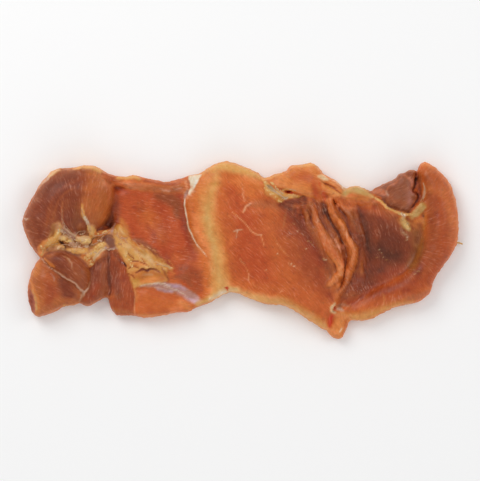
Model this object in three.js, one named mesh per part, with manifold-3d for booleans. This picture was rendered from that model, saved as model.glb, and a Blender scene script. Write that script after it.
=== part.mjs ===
// A boned chicken thigh, trimmed of its skin, marinated and opened out flat with the cut side up.
// It lies on the table as one limp strip of meat: a thick round muscle and a cut shank end at the left,
// a thin hollow sheet in the middle, and a broad muscle at the right that runs through a bundle of loose
// folds into a bowl with a thick rolled rim.
//
// Seen from above, every muscle is a smooth closed outline, rounded over at its edge and crowned in the
// middle. Folds, seams and strings of fat are ridges whose width and height change along a path. The top
// of the meat is the highest of them all at each place, so a crease is simply where two of them meet. It is
// skinned with triangles whose corners follow those edges and ridges, closed round the side and below.
//
// Millimetres. X runs along the strip, Y across it, Z up. The origin is under the middle, on the table.

import * as THREE from "three";
import Module from "manifold-3d";
import { mergeVertices } from "three/addons/utils/BufferGeometryUtils.js";

const wasm = await Module();
wasm.setup();

// Driving dimensions
const LENGTH = 210; // the whole strip, end to end
const WIDTH = 86; // across the widest place
const THIN = 7; // the thin sheet in the middle
const THICK = 18; // the round muscle at the left
const RIM = 13.5; // the rolled rim at the right

// How finely the meat is divided
const EDGE_STEP = 1.9; // along the outer edge
const LINE_STEP = 1.6; // along the edge of a muscle and along a ridge
const FIELD_STEP = 2.2; // over the meat between them

// How its parts meet
const LEAST = 3.5; // the thinnest meat anywhere inside the edge
const WALL = 2.6; // how steeply the side of a muscle drops to the next, in mm for each mm outwards
const BLEND = 0.5; // how softly two parts run into each other

// Points of the meat in millimetres at the driving length and width
const DRAWN_LENGTH = 210;
const DRAWN_WIDTH = 86;
const place = ([x, y]) => new THREE.Vector2((x * LENGTH) / DRAWN_LENGTH, (y * WIDTH) / DRAWN_WIDTH);

// A gentle unevenness for every upper surface, from a few waves that never repeat together
const WAVES = [
  { along: [0.21, 0.13], lift: 0.3 },
  { along: [-0.11, 0.33], lift: 0.24 },
  { along: [0.47, -0.29], lift: 0.16 },
  { along: [0.31, 0.52], lift: 0.12 },
];
function unevenness(x, y) {
  return WAVES.reduce((sum, { along: [a, b], lift }, i) => sum + lift * Math.sin(a * x + b * y + 1.7 * i), 0);
}

// A hollow, or with a negative depth a swelling, in the top of a muscle: round, or longer one way and turned
function hollow({ at, radius, depth, turn = 0 }) {
  const centre = place(at);
  const [across, along] = Array.isArray(radius) ? radius : [radius, radius];
  const angle = THREE.MathUtils.degToRad(turn);
  return (p) => {
    const offset = p.clone().sub(centre).rotateAround(new THREE.Vector2(), -angle);
    return depth * Math.exp(-((offset.x / across) ** 2) - (offset.y / along) ** 2);
  };
}

// Points at even steps along a smooth closed line through the given ones
function evenly(points, step) {
  const curve = new THREE.CatmullRomCurve3(points, true, "centripetal");
  curve.arcLengthDivisions = 20 * points.length;
  const count = Math.round(curve.getLength() / step);
  return curve.getSpacedPoints(count).slice(0, count).map((p) => new THREE.Vector2(p.x, p.y));
}

// An outline as such a line, anticlockwise
function smoothOutline(points, step) {
  const line = evenly(points.map(place).map((p) => new THREE.Vector3(p.x, p.y, 0)), step);
  return THREE.ShapeUtils.isClockWise(line) ? line.reverse() : line;
}

// How far p lies inside a closed line, and less than nothing outside it
function depthInside(p, line) {
  let nearest = Infinity;
  let inside = false;
  for (let i = 0, j = line.length - 1; i < line.length; j = i++) {
    const [a, b] = [line[j], line[i]];
    const [dx, dy] = [b.x - a.x, b.y - a.y];
    const along = ((p.x - a.x) * dx + (p.y - a.y) * dy) / (dx * dx + dy * dy);
    const share = THREE.MathUtils.clamp(along, 0, 1);
    nearest = Math.min(nearest, Math.hypot(p.x - a.x - share * dx, p.y - a.y - share * dy));
    if (a.y > p.y !== b.y > p.y && p.x < a.x + ((p.y - a.y) * dx) / dy) inside = !inside;
  }
  return inside ? nearest : -nearest;
}

// The closed line moved inwards, or outwards by less than nothing, in small rounds. Each point also moves a
// little towards the middle of its neighbours, so that the line opens out at sharp corners.
const INSET_ROUND = 0.3;
const EVENING = 0.22;
function insetLine(line, distance) {
  const rounds = Math.ceil(Math.abs(distance) / INSET_ROUND);
  let ring = line.map((p) => p.clone());
  for (let round = 0; round < rounds; round++) {
    ring = ring.map((p, i) => {
      const [before, after] = [ring.at(i - 1), ring[(i + 1) % ring.length]];
      const ahead = after.clone().sub(before).normalize();
      const inward = new THREE.Vector2(-ahead.y, ahead.x).multiplyScalar(distance / rounds);
      return p.clone().add(inward).lerp(before.clone().add(after).multiplyScalar(0.5), EVENING);
    });
  }
  return ring;
}

// A muscle: its edge stands at the height rim, and within the width shoulder it rounds over to crown.
// Its rays run outwards from a line inside the edge, past the edge, to where its wall may end.
const INNER = 0.5; // how far inside the rays begin, in shoulders
const FOOT = 3; // how far past the edge they end
const LEAST_CROWN = 0.2; // how far a muscle rises above its edge at least
function muscle({ outline, rim, crown, shoulder, lean = [0, 0], hollows = [] }) {
  const line = smoothOutline(outline, LINE_STEP);
  const middle = line.reduce((sum, p) => sum.add(p), new THREE.Vector2()).divideScalar(line.length);
  const dips = hollows.map(hollow);
  const heightAt = (p) => {
    const depth = depthInside(p, line);
    if (depth < 0) return rim + WALL * depth;
    const sunk = dips.reduce((sum, dip) => sum + dip(p), 0);
    const tilt = lean[0] * (p.x - middle.x) + lean[1] * (p.y - middle.y);
    const top = crown + tilt + unevenness(p.x, p.y) - sunk;
    const turn = 1 - Math.min(depth / shoulder, 1);
    return rim + Math.max(top - rim, LEAST_CROWN) * Math.sqrt(1 - turn * turn);
  };
  const inside = insetLine(line, INNER * shoulder);
  const outside = insetLine(line, -FOOT);
  return { line, heightAt, rays: inside.map((from, i) => ({ from, by: line[i], to: outside[i] })) };
}

// A fold, seam or string of fat: a rounded ridge along a path. Each stop is [x, y, half width, top height].
// Its rays run to both sides from the crest.
const SIDE_SHARE = 0.75; // where the steeper side of a ridge begins, in half widths
function ridge(stops, base = 3) {
  const smooth = (points) => new THREE.CatmullRomCurve3(points, false, "centripetal");
  const path = smooth(stops.map(place).map((p) => new THREE.Vector3(p.x, p.y, 0)));
  const sizes = smooth(stops.map(([, , half, height]) => new THREE.Vector3(half, height, 0)));
  const count = Math.max(2, Math.round(path.getLength() / LINE_STEP));
  const stations = Array.from({ length: count + 1 }, (_, s) => {
    const at = path.getPoint(s / count);
    const ahead = path.getTangent(s / count);
    const size = sizes.getPoint(s / count);
    const aside = new THREE.Vector2(-ahead.y, ahead.x);
    return { at: new THREE.Vector2(at.x, at.y), aside, half: size.x, height: size.y };
  });
  const heightAt = (p) => {
    let highest = -Infinity;
    for (let s = 0; s < count; s++) {
      const [from, to] = [stations[s], stations[s + 1]];
      const way = to.at.clone().sub(from.at);
      const share = THREE.MathUtils.clamp(p.clone().sub(from.at).dot(way) / way.lengthSq(), 0, 1);
      const distance = from.at.clone().lerp(to.at, share).distanceTo(p);
      const half = THREE.MathUtils.lerp(from.half, to.half, share);
      const rise = THREE.MathUtils.lerp(from.height, to.height, share) - base;
      const off = distance / half;
      const height = off < 1 ? base + rise * Math.sqrt(1 - off * off) : base - WALL * (distance - half);
      highest = Math.max(highest, height);
    }
    return highest;
  };
  const rays = stations.flatMap(({ at, aside, half }) =>
    [-1, 1].map((side) => ({
      from: at,
      by: at.clone().addScaledVector(aside, SIDE_SHARE * side * half),
      to: at.clone().addScaledVector(aside, side * (half + FOOT)),
    })),
  );
  const beside = (side) =>
    stations.map(({ at, aside, half }) => at.clone().addScaledVector(aside, side * half));
  return { line: [...beside(-1), ...beside(1).reverse()], heightAt, rays };
}

// A lump of fat: a short ridge
const LEAST_REACH = 0.3;
function lump([x, y], [halfLength, halfWidth], height, turn = 0) {
  const reach = new THREE.Vector2(Math.max(halfLength - halfWidth, LEAST_REACH), 0);
  reach.rotateAround(new THREE.Vector2(), THREE.MathUtils.degToRad(turn));
  const stop = (side) => [x + side * reach.x, y + side * reach.y, halfWidth, height];
  return ridge([stop(-1), stop(1)]);
}

// The left end: a thin sheet that carries the thick muscles round the joint

function middleSheet() {
  return muscle({
    outline: [
      [-90, 14], [-84, 30], [-74, 37], [-66, 37.4], [-57, 35.4], [-50.5, 36.1], [-47.5, 35.1], [-40, 33.9],
      [-35, 33.1], [-20, 36.5], [-13, 30], [-9, 10], [-9, -12], [-12, -22], [-17, -26.2], [-36, -29],
      [-50, -27], [-57, -14], [-64, -6], [-86, 0],
    ],
    rim: 3,
    crown: THIN + 0.6,
    shoulder: 4,
    hollows: [
      { at: [-44, 14], radius: [13, 15], depth: 2.2 },
      { at: [-65, 14], radius: [4, 9], depth: 5, turn: -24 },
      { at: [-59, 30.2], radius: [5, 1.7], depth: 3.4, turn: 8 },
      { at: [-27, 14], radius: [4, 16], depth: 1.2, turn: 12 },
      { at: [-24, -14], radius: [7, 9], depth: -1.3 },
    ],
  });
}

function roundMuscle() {
  return muscle({
    outline: [
      [-104.9, 14], [-103.8, 9], [-100, 1], [-98.3, -0.7], [-95.5, -2], [-84, 5], [-73, 6.5], [-68.6, 7.8],
      [-65.4, 12], [-62.8, 17], [-61, 23], [-60.6, 28], [-62, 32], [-65.2, 35.6], [-69, 38.2], [-74, 39.2],
      [-88, 39.2], [-93, 35.6], [-97, 30.6], [-103, 20],
    ],
    rim: 5.5,
    crown: THICK,
    shoulder: 14,
    lean: [0.03, 0.07],
    hollows: [
      { at: [-83, 14], radius: [6, 5], depth: 1.8 },
      { at: [-78, 3], radius: [15, 6], depth: 6 },
      { at: [-74.5, 15], radius: [1.6, 6], depth: 1.1, turn: 24 },
      { at: [-90, 6], radius: [6, 3.5], depth: 1.5, turn: 40 },
    ],
  });
}

function shankEnd() {
  return muscle({
    outline: [
      [-102.6, -19.5], [-102.2, -24.5], [-100.8, -28.5], [-98.6, -32], [-87, -28.5], [-84, -26.5],
      [-81.4, -26.9], [-77.3, -25], [-74.5, -21], [-75, -17], [-80, -12], [-86, -7], [-92, -4],
      [-95.6, -3.4], [-98, -5.5], [-100, -9],
    ],
    rim: 4,
    crown: 11.5,
    shoulder: 7,
    hollows: [
      { at: [-84, -20], radius: [4, 7], depth: 2, turn: 20 },
      { at: [-102.2, -24], radius: [3.2, 8], depth: 6.5, turn: 8 },
      { at: [-94, -14], radius: [4, 6], depth: -1.2, turn: 25 },
    ],
  });
}

function ovalMuscle() {
  return muscle({
    outline: [
      [-95.4, -3.4], [-90, 0], [-86, 0.2], [-82, -0.6], [-78, -2.4], [-75, -5], [-72.4, -8.5], [-71.4, -12],
      [-71.7, -15.6], [-73.2, -19], [-75.2, -20], [-90.5, -9.4],
    ],
    rim: 5,
    crown: 14,
    shoulder: 4.5,
    hollows: [{ at: [-83, -7], radius: [5, 2], depth: -0.6, turn: -40 }],
  });
}

function innerMuscle() {
  return muscle({
    outline: [
      [-77.6, -24], [-73, -12], [-72, -7], [-68, -4], [-64, 1], [-62.7, -4], [-62.3, -12], [-62.9, -20.8],
      [-67.6, -24], [-74.3, -27.1],
    ],
    rim: 3,
    crown: 9.6,
    shoulder: 4,
  });
}

function outerMuscle() {
  return muscle({
    outline: [
      [-63.6, 1], [-59, 1], [-51.5, -14], [-50, -19], [-49.5, -25], [-49.6, -31], [-53, -31.4],
      [-60.8, -30.4], [-63.6, -22.6],
    ],
    rim: 3,
    crown: 8.8,
    shoulder: 4,
    hollows: [{ at: [-57, -12], radius: [2, 9], depth: 0.7, turn: 14 }],
  });
}

function bottomTab() {
  return muscle({
    outline: [
      [-51.2, -26], [-50.3, -18], [-48, -17.2], [-43, -17.8], [-29, -22.4], [-22.7, -28.3], [-24.5, -29.7],
      [-29, -29.7], [-40, -31.8], [-49.6, -32.1], [-51, -30.4],
    ],
    rim: 3.2,
    crown: 9.4,
    shoulder: 2.6,
  });
}

function fatSeam() {
  return muscle({
    outline: [
      [-61.8, 12.5], [-58, 13], [-55, 10], [-53, 6.5], [-49, 3], [-44, 0.4], [-37, -6], [-32.5, -8],
      [-36, -15.5], [-49.5, -18.2], [-59.8, 0.5],
    ],
    rim: 4,
    crown: 10,
    shoulder: 3.4,
    hollows: [
      { at: [-44, -9.6], radius: [6, 0.9], depth: 1.6, turn: 3 },
      { at: [-42, -14], radius: [8, 3.5], depth: 1.4, turn: -4 },
      { at: [-52, -3], radius: [4, 1], depth: 1, turn: -45 },
    ],
  });
}

// The lumpy torn edge that closes the sheet along the top
function backStrips() {
  return [
    ridge([
      [-80.5, 38.1, 1.5, 11], [-75, 39, 2, 13], [-70, 38.6, 2.1, 13.5], [-65, 35.6, 2, 11],
      [-59, 33.6, 2.2, 9.5],
    ]),
    ridge([
      [-62, 34.6, 1.6, 9.5], [-55, 32.6, 2.8, 9.8], [-50.5, 33, 3, 9.4], [-44, 31.8, 2.6, 9],
      [-35, 30.6, 2.3, 8.8], [-27, 31.4, 2.3, 9.4],
    ]),
  ];
}

// Fat and gristle where the bone was cut out, on a bed of meat
function jointBed() {
  return muscle({
    outline: [
      [-97.5, 1], [-95, 6], [-88, 11], [-80, 11], [-72, 10], [-64, 11.5], [-59, 8], [-57.5, 2], [-60, -3],
      [-66, -4], [-70, -8], [-74, -9], [-80, -6], [-88, -5], [-96, -3],
    ],
    rim: 5,
    crown: 10.6,
    shoulder: 3,
    hollows: [
      { at: [-83.4, 2], radius: [4.5, 1.1], depth: 2.4, turn: -30 },
      { at: [-78.4, 3.4], radius: [3, 1.4], depth: 1.4, turn: -12 },
      { at: [-67, 5], radius: [2, 1.6], depth: 1.2 },
    ],
  });
}

function jointFat() {
  return [
    ridge([
      [-95.9, -2.6, 1.8, 9.6], [-95.8, 0.8, 2.6, 11.8], [-93, 3.6, 3, 13.2], [-89.6, 5, 2.8, 13.6],
      [-87.2, 8.6, 2, 14.2], [-86.4, 12.6, 1.2, 15.4],
    ], 5),
    ridge([[-87.2, 6.4, 1.5, 12.6], [-83.6, 5.4, 1.6, 12.6], [-80.6, 3.2, 1.6, 12.4]], 5),
    ridge([
      [-84.2, 12.4, 0.9, 16], [-81.4, 9.4, 1.4, 14.4], [-78.4, 6.8, 1.6, 13.6], [-75.4, 5.2, 2.6, 13.6],
      [-72.6, 4.6, 2.3, 13.2],
    ], 5),
    ridge([
      [-75.6, 19.4, 0.8, 18], [-74.4, 15.6, 1, 17.4], [-72.2, 12, 1.3, 15.8], [-71, 8.6, 2, 14],
      [-69.8, 6.4, 1.2, 12.6],
    ], 5),
    ridge([[-70.4, 7.2, 1, 12], [-66, 8.2, 1.1, 11.6], [-61.5, 9.6, 1.2, 11.4]], 5),
    ridge([
      [-81.4, 0.6, 1, 11.6], [-77.6, 0, 1.6, 12.2], [-74.4, -0.8, 2, 12.4], [-72.4, -3.4, 2.6, 12.4],
      [-71.6, -6.4, 1.5, 11],
    ], 5),
    ridge([[-72.4, -1, 1.4, 12], [-69.6, 1.2, 1.9, 12.4], [-66.8, 3, 1.6, 12.2], [-64.8, 1.4, 1.2, 11.4]], 5),
    lump([-85.8, 1.9], [2, 1.3], 13, 10),
    lump([-63.4, 4.6], [2.7, 3.1], 12.4, 20),
    lump([-61.2, 1.8], [1.8, 2.4], 11.4),
  ];
}

// The right end: a broad muscle, its folds, and the bowl with its rolled rim

function broadMuscle() {
  return muscle({
    outline: [
      [-27, 25], [-25.3, 12], [-22.3, 4.8], [-14.6, -6.5], [-14.2, -14], [-16.6, -26], [-10, -22.2],
      [-6, -20.5], [-3, -20.1], [8, -24.6], [13, -26], [20, -26.4], [25, -28.4], [35, -34.9], [42.5, -38.4],
      [45.5, -34], [51, 0], [50, 12], [46, 22], [42, 29], [34, 33], [24, 34.5], [10.8, 34.9], [9.4, 36.8],
      [4, 39.6], [-7, 43], [-13.4, 41.1], [-20, 36.9], [-23.6, 36.2], [-24, 31],
    ],
    rim: 3.4,
    crown: 11.5,
    shoulder: 4.2,
    hollows: [
      { at: [-18, 15], radius: [6, 26], depth: 1.2, turn: 8 },
      { at: [-12, 20], radius: [3.5, 22], depth: -0.9, turn: 6 },
      { at: [20, -2], radius: [22, 14], depth: -1.2, turn: -30 },
      { at: [8, 22], radius: [9, 3], depth: 1.2, turn: 10 },
      { at: [30, 17], radius: [5, 8], depth: 2.6, turn: 20 },
      { at: [43, 14], radius: [3, 13], depth: 2.6, turn: 28 },
      { at: [43.5, -33], radius: [1.3, 4], depth: 2.6, turn: -14 },
      { at: [-7, -19], radius: [8, 5], depth: 3 },
    ],
  });
}

function topFlap() {
  return muscle({
    outline: [
      [11.6, 34.6], [13.5, 34.8], [15, 36.3], [22.5, 38.3], [23.2, 40.3], [25, 41.3], [27, 40.8],
      [34.5, 42.3], [36.6, 41], [40, 36.8], [40.5, 32], [38.6, 27.5], [34, 25.2], [16, 31],
    ],
    rim: 6,
    crown: 14,
    shoulder: 3.6,
    lean: [0.05, -0.06],
    hollows: [{ at: [31, 36], radius: [6, 2.4], depth: 0.9, turn: 8 }],
  });
}

function flapLip() {
  return ridge([
    [14.4, 32.4, 1.2, 13], [18, 31, 1.6, 14.2], [22, 30.2, 1.7, 14.9], [26, 28.9, 1.7, 15],
    [30, 27.4, 1.6, 14.6], [33.6, 26.2, 1.3, 13.4],
  ], 8);
}

// The edge beside the flap lies doubled over, with a furrow between its two rolls
function topRolls() {
  return [
    ridge([
      [37, 35.6, 1.8, 13.6], [40.4, 34, 2.1, 13.8], [44.1, 32.3, 2.1, 13], [47.2, 30, 1.9, 12],
      [50, 27.4, 1.8, 10.6],
    ], 5),
    ridge([
      [38.4, 31, 2.2, 13.6], [41.8, 28.6, 2.7, 13.4], [45.4, 26.8, 2.6, 12.6], [48.6, 25, 2.4, 11.4],
      [52.4, 22.8, 1.6, 9.8],
    ], 5),
    ridge([[35.2, 30.6, 2.4, 13.4], [36.6, 26.8, 2.4, 13], [37.6, 23.6, 2, 12.2]], 5),
  ];
}

function fatHump() {
  return muscle({
    outline: [
      [48.5, 27], [53, 30.5], [55.5, 31.3], [58.5, 30.3], [66, 25.6], [64, 22], [58, 21], [51, 22],
    ],
    rim: 3.4,
    crown: 10,
    shoulder: 3.4,
  });
}

function fatClods() {
  return [
    ridge([
      [11.4, 33, 1.6, 11.8], [14, 32, 2.4, 12.8], [16.6, 29.8, 2.4, 13], [19, 27.4, 2.2, 13.2],
      [21.4, 25.4, 1.5, 12.8],
    ], 6),
    ridge([[13.4, 27.4, 1.8, 12.2], [15.8, 25.6, 1.9, 12.6], [18.4, 23.4, 1.6, 12.2]], 6),
    ridge([[25, 25.4, 1, 12.6], [27.4, 26.4, 1.1, 12.8], [29.6, 26.6, 0.9, 12.6]], 6),
    lump([22.2, 24.8], [1.4, 1.2], 13.2),
  ];
}

function bowlFloor() {
  return muscle({
    outline: [
      [40, -27], [46, -31], [56, -31.5], [75, -25], [85, -20], [92, -10], [97, 2], [98, 16], [96, 28],
      [90, 36], [76, 32], [62, 26], [55, 27], [47, 25], [43, 18],
    ],
    rim: 3,
    crown: 6,
    shoulder: 3,
    hollows: [
      { at: [71, -3], radius: [9, 8], depth: 1.6, turn: -20 },
      { at: [54, 12], radius: [5, 12], depth: -4.4, turn: 34 },
      { at: [54, -6], radius: [5, 12], depth: -3.4, turn: 4 },
      { at: [53, -20], radius: [6, 5], depth: -1.6 },
      { at: [69, 13], radius: [8, 9], depth: -3, turn: 30 },
      { at: [60.6, 6], radius: [1.6, 13], depth: 1.5, turn: 12 },
      { at: [86, 12], radius: [3.4, 10], depth: -1.4, turn: 4 },
      { at: [84, 19], radius: [6, 4], depth: -2.4 },
    ],
  });
}

function rolledRim() {
  return muscle({
    outline: [
      [45.5, -32], [46, -27.5], [54, -24.5], [65, -17.6], [72, -14.6], [78, -11], [82.6, -6], [85, 0],
      [87, 12], [87.2, 17], [86.2, 21], [86.4, 26], [85.1, 38.4], [85.5, 40.5], [87, 42.3], [88.5, 43],
      [93, 40.6], [99, 35], [101, 32], [103.7, 24], [105, 13.5], [104.3, 4], [102, -1.4], [94.4, -12],
      [92.5, -16], [91.6, -20.1], [87, -24], [84, -25.5], [75, -27.1], [62.4, -33.2], [58, -33.8],
      [51, -33.5],
    ],
    rim: 4.4,
    crown: RIM,
    shoulder: 9,
    hollows: [
      { at: [55, -29], radius: [13, 8], depth: 3.8 },
      { at: [82, -18], radius: [12, 7], depth: 1.4, turn: 30 },
      { at: [71, -24], radius: [6, 8], depth: 1 },
      { at: [96, 16], radius: [4, 20], depth: -1.4 },
      { at: [89, 36], radius: [5, 6], depth: -0.8 },
    ],
  });
}

function innerFillet() {
  return muscle({
    outline: [
      [62.4, 27.8], [67, 31.3], [71.4, 33.3], [75.1, 34.9], [75.5, 37.3], [78.2, 36.7], [80.4, 38.8],
      [82.5, 39.1], [84.9, 38.2], [83.6, 34], [83.4, 30], [85.2, 27.4], [84.4, 24], [81, 18.2], [73, 20],
      [70, 21.4], [68.6, 24],
    ],
    rim: 5,
    crown: 12.2,
    shoulder: 2.4,
    lean: [0.12, 0.02],
    hollows: [
      { at: [70.5, 27], radius: [1.4, 6], depth: 1.6, turn: -28 },
      { at: [66, 28], radius: [4, 5], depth: 2 },
      { at: [81.6, 34.5], radius: [1.4, 6], depth: 1.3, turn: -12 },
    ],
  });
}

function tailFlap() {
  return muscle({
    outline: [
      [41.8, -38.4], [44.3, -42.2], [47, -43], [48.6, -42.6], [50.1, -40], [52, -33], [50.5, -29], [47, -28],
      [44, -31],
    ],
    rim: 2.6,
    crown: 7.4,
    shoulder: 2.8,
    lean: [0, 0.12],
  });
}

// Loose folds of thin meat between the broad muscle and the bowl
function folds() {
  return [
    ridge([
      [33.4, 23, 1.6, 12.4], [35.2, 18, 2.2, 13], [37.8, 12, 2.8, 13.6], [41, 5.4, 3.5, 14.4],
      [44.6, -0.4, 3.7, 15], [47.8, -6, 2.6, 15.6], [48, -10.4, 2, 15.2], [45.6, -13.6, 2.5, 14.6],
      [42.8, -16.4, 2.2, 13.2],
    ], 6),
    ridge([
      [43, 25, 1.3, 13], [43.6, 21, 1.4, 13.6], [45.6, 16.4, 1.8, 14.2], [48.6, 11.6, 1.8, 14.8],
      [50.6, 7, 1.6, 15.4], [53, 2.8, 2.1, 15.8], [54.2, -2, 2.2, 15.8], [53.2, -6.6, 2, 15.2],
      [51.8, -10.6, 1.6, 14.4], [51.2, -14.2, 1.3, 13.6], [49.6, -17.6, 1.2, 12.6], [47.2, -21.4, 1.3, 11.8],
      [45.6, -25.2, 1.2, 11],
    ], 6),
    ridge([
      [38, 23.4, 1.4, 12], [38.8, 18, 1.5, 11.8], [41.6, 11.8, 1.5, 12], [45, 6.2, 1.5, 12.6],
      [48, 1, 1.3, 13],
    ], 5),
    ridge([[24.6, 24.4, 1.4, 12.4], [22.2, 20.5, 1.4, 12.4], [21, 15.5, 1.1, 12.6]], 5),
    ridge([[29.4, 24.6, 1.2, 12.2], [30.4, 20, 1.3, 11.8], [32.4, 15, 1.2, 11.6]], 5),
    ridge([
      [48, 23.4, 1.4, 11.4], [51.4, 18.8, 1.4, 11.6], [54.8, 14.6, 1.3, 11.2], [57.6, 10.8, 1, 10],
      [59.4, 7.6, 0.8, 8.8],
    ], 5),
    ridge([
      [50, 14.8, 1, 10.6], [53.2, 9.6, 1.2, 10.4], [56.6, 4, 1.1, 9.6], [58.4, -2, 1, 8.8],
      [58.6, -9, 0.9, 8],
    ]),
  ];
}

// The pinch where the folds run out, and the tendon along the inner fillet
function seams() {
  return [
    ridge([[43.6, -25.6, 0.9, 10.4], [44.4, -29.6, 1, 10], [47.4, -29.6, 1.4, 9.6], [51.5, -28.2, 1.6, 9]]),
    ridge([
      [62, 25.4, 0.9, 9.6], [68, 22.2, 1, 9.6], [72, 18.6, 1.1, 9.4], [77, 17.2, 1.3, 9.6],
      [81, 16.8, 1.3, 10], [85, 20.6, 2.6, 11.4], [88, 23, 1.6, 12],
    ]),
    ridge([[78, 16, 1.2, 9], [79, 13, 1.8, 9], [81, 9.6, 1.2, 8]]),
  ];
}

const PARTS = [
  middleSheet(), roundMuscle(), shankEnd(), ovalMuscle(), innerMuscle(), outerMuscle(), bottomTab(),
  fatSeam(), ...backStrips(), jointBed(), ...jointFat(),
  broadMuscle(), topFlap(), flapLip(), ...topRolls(), fatHump(), ...fatClods(),
  bowlFloor(), rolledRim(), innerFillet(), tailFlap(), ...folds(), ...seams(),
];

// The top of the meat: the highest part at each place, run softly into the next highest
function topAt(p) {
  const softer = (a, b) => (a + b + Math.hypot(a - b, BLEND)) / 2;
  return PARTS.reduce((height, part) => softer(height, part.heightAt(p)), LEAST);
}

// The outer edge of the meat, anticlockwise: level slices of all the parts are joined, and the edges that
// only one triangle of the joined slice's top has are followed round from its leftmost corner
const SLICE = 1;
function outerEdge() {
  const slice = ({ line }) => {
    const ring = THREE.ShapeUtils.isClockWise(line) ? [...line].reverse() : line;
    const settings = { depth: SLICE, bevelEnabled: false };
    return solidFrom(new THREE.ExtrudeGeometry(new THREE.Shape(ring), settings));
  };
  const joined = PARTS.map(slice).reduce((sum, next) => sum.add(next));
  const { numProp, vertProperties, triVerts } = joined.getMesh();
  const cornerAt = (v) => new THREE.Vector3(...vertProperties.subarray(v * numProp, v * numProp + 3));
  const open = new Map();
  for (let t = 0; t < triVerts.length; t += 3) {
    const [a, b, c] = triVerts.subarray(t, t + 3);
    if (Math.min(...[a, b, c].map((v) => cornerAt(v).z)) < SLICE / 2) continue;
    for (const [from, to] of [[a, b], [b, c], [c, a]]) {
      if (!open.delete(`${to},${from}`)) open.set(`${from},${to}`, [from, to]);
    }
  }
  const next = new Map(open.values());
  const start = [...next.keys()].reduce((best, v) => (cornerAt(v).x < cornerAt(best).x ? v : best));
  const loop = [cornerAt(start)];
  for (let v = next.get(start); v !== start; v = next.get(v)) loop.push(cornerAt(v));
  return evenly(loop, EDGE_STEP);
}

// How far along a ray its part is still the top of the meat, as a point, or nothing if it never is
const SHOWS = 0.7 * BLEND;
const PACE = 0.15;
function lastShown(part, { from, to }) {
  const shows = (p) => topAt(p) - part.heightAt(p) < SHOWS;
  if (!shows(from)) return null;
  const pace = PACE / from.distanceTo(to);
  let share = 0;
  while (share + pace < 1 && shows(from.clone().lerp(to, share + pace))) share += pace;
  return from.clone().lerp(to, share);
}

// The corners of the triangles over the top: first along the creases where the parts meet, then along
// their edges and crests, then over a grid between those. None comes nearer to another than its clearance.
const CREASE_CLEAR = 0.75;
const EDGE_CLEAR = 0.7;
const FIELD_CLEAR = 1.3;
const HALFWAY = 0.55; // from a crest to its crease, where the edge between them is buried
const ROW_STEP = FIELD_STEP * Math.sin(Math.PI / 3);
const STRAY = 0.15; // how far the corners of the grid stray from it
function spreadCorners(border) {
  const corners = border.map((p) => p.clone());
  const offer = (p, clearance) => {
    if (depthInside(p, border) < clearance) return;
    if (corners.every((q) => q.distanceToSquared(p) > clearance ** 2)) corners.push(p);
  };
  const rays = PARTS.flatMap((part) => part.rays.map((ray) => ({ ...ray, last: lastShown(part, ray) })));
  const shown = rays.filter(({ last }) => last);
  for (const { last } of shown) offer(last, CREASE_CLEAR);
  for (const { from, by, last } of shown) {
    const room = from.distanceTo(last) - from.distanceTo(by);
    offer(room > CREASE_CLEAR ? by : from.clone().lerp(last, HALFWAY), EDGE_CLEAR);
  }
  for (const { from } of shown) offer(from, EDGE_CLEAR);
  const columns = Math.ceil(LENGTH / FIELD_STEP);
  const rows = Math.ceil(WIDTH / ROW_STEP);
  for (let j = -rows; j <= rows; j++) {
    for (let i = -columns; i <= columns; i++) {
      const x = (i + (j % 2 ? 0.5 : 0)) * FIELD_STEP + STRAY * Math.sin(2.1 * i + 1.3 * j);
      const y = j * ROW_STEP + STRAY * Math.sin(1.7 * i - 2.3 * j);
      offer(new THREE.Vector2(x, y), FIELD_CLEAR);
    }
  }
  return corners;
}

// Triangles between scattered corners, none with another corner in the circle round it: every corner in
// turn replaces the triangles whose circles hold it by a fan to the edge of the gap they leave. It begins
// with one triangle between three far corners, and ends without those.
function trianglesBetween(corners) {
  const far = 20 * LENGTH;
  const around = [[-far, -far], [far, -far], [0, far]].map(([x, y]) => new THREE.Vector2(x, y));
  const all = [...corners, ...around];
  const count = corners.length;
  const circled = (...indices) => {
    const [a, b, c] = indices.map((i) => all[i]);
    const twice = 2 * ((b.x - a.x) * (c.y - a.y) - (b.y - a.y) * (c.x - a.x));
    const [ab, ac] = [b.distanceToSquared(a), c.distanceToSquared(a)];
    const x = a.x + ((c.y - a.y) * ab - (b.y - a.y) * ac) / twice;
    const y = a.y + ((b.x - a.x) * ac - (c.x - a.x) * ab) / twice;
    return { indices, x, y, reach: (x - a.x) ** 2 + (y - a.y) ** 2 };
  };
  let triangles = [circled(count, count + 1, count + 2)];
  corners.forEach((p, i) => {
    const kept = [];
    const gap = new Map();
    for (const triangle of triangles) {
      if ((triangle.x - p.x) ** 2 + (triangle.y - p.y) ** 2 > triangle.reach) {
        kept.push(triangle);
        continue;
      }
      const [a, b, c] = triangle.indices;
      for (const [from, to] of [[a, b], [b, c], [c, a]]) {
        if (!gap.delete(`${to},${from}`)) gap.set(`${from},${to}`, [from, to]);
      }
    }
    for (const [from, to] of gap.values()) kept.push(circled(from, to, i));
    triangles = kept;
  });
  return triangles.map(({ indices }) => indices).filter((indices) => Math.max(...indices) < count);
}

// The side of the meat, from the table up: how far each ring lies inside the outer edge, and its height as
// a share of the top there
const SIDE = [
  { inset: 1.6, share: 0 },
  { inset: 0.35, share: 0.35 },
  { inset: 0, share: 0.8 },
  { inset: 0.45, share: 1 },
  { inset: 1.5, share: 1 },
];

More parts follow.
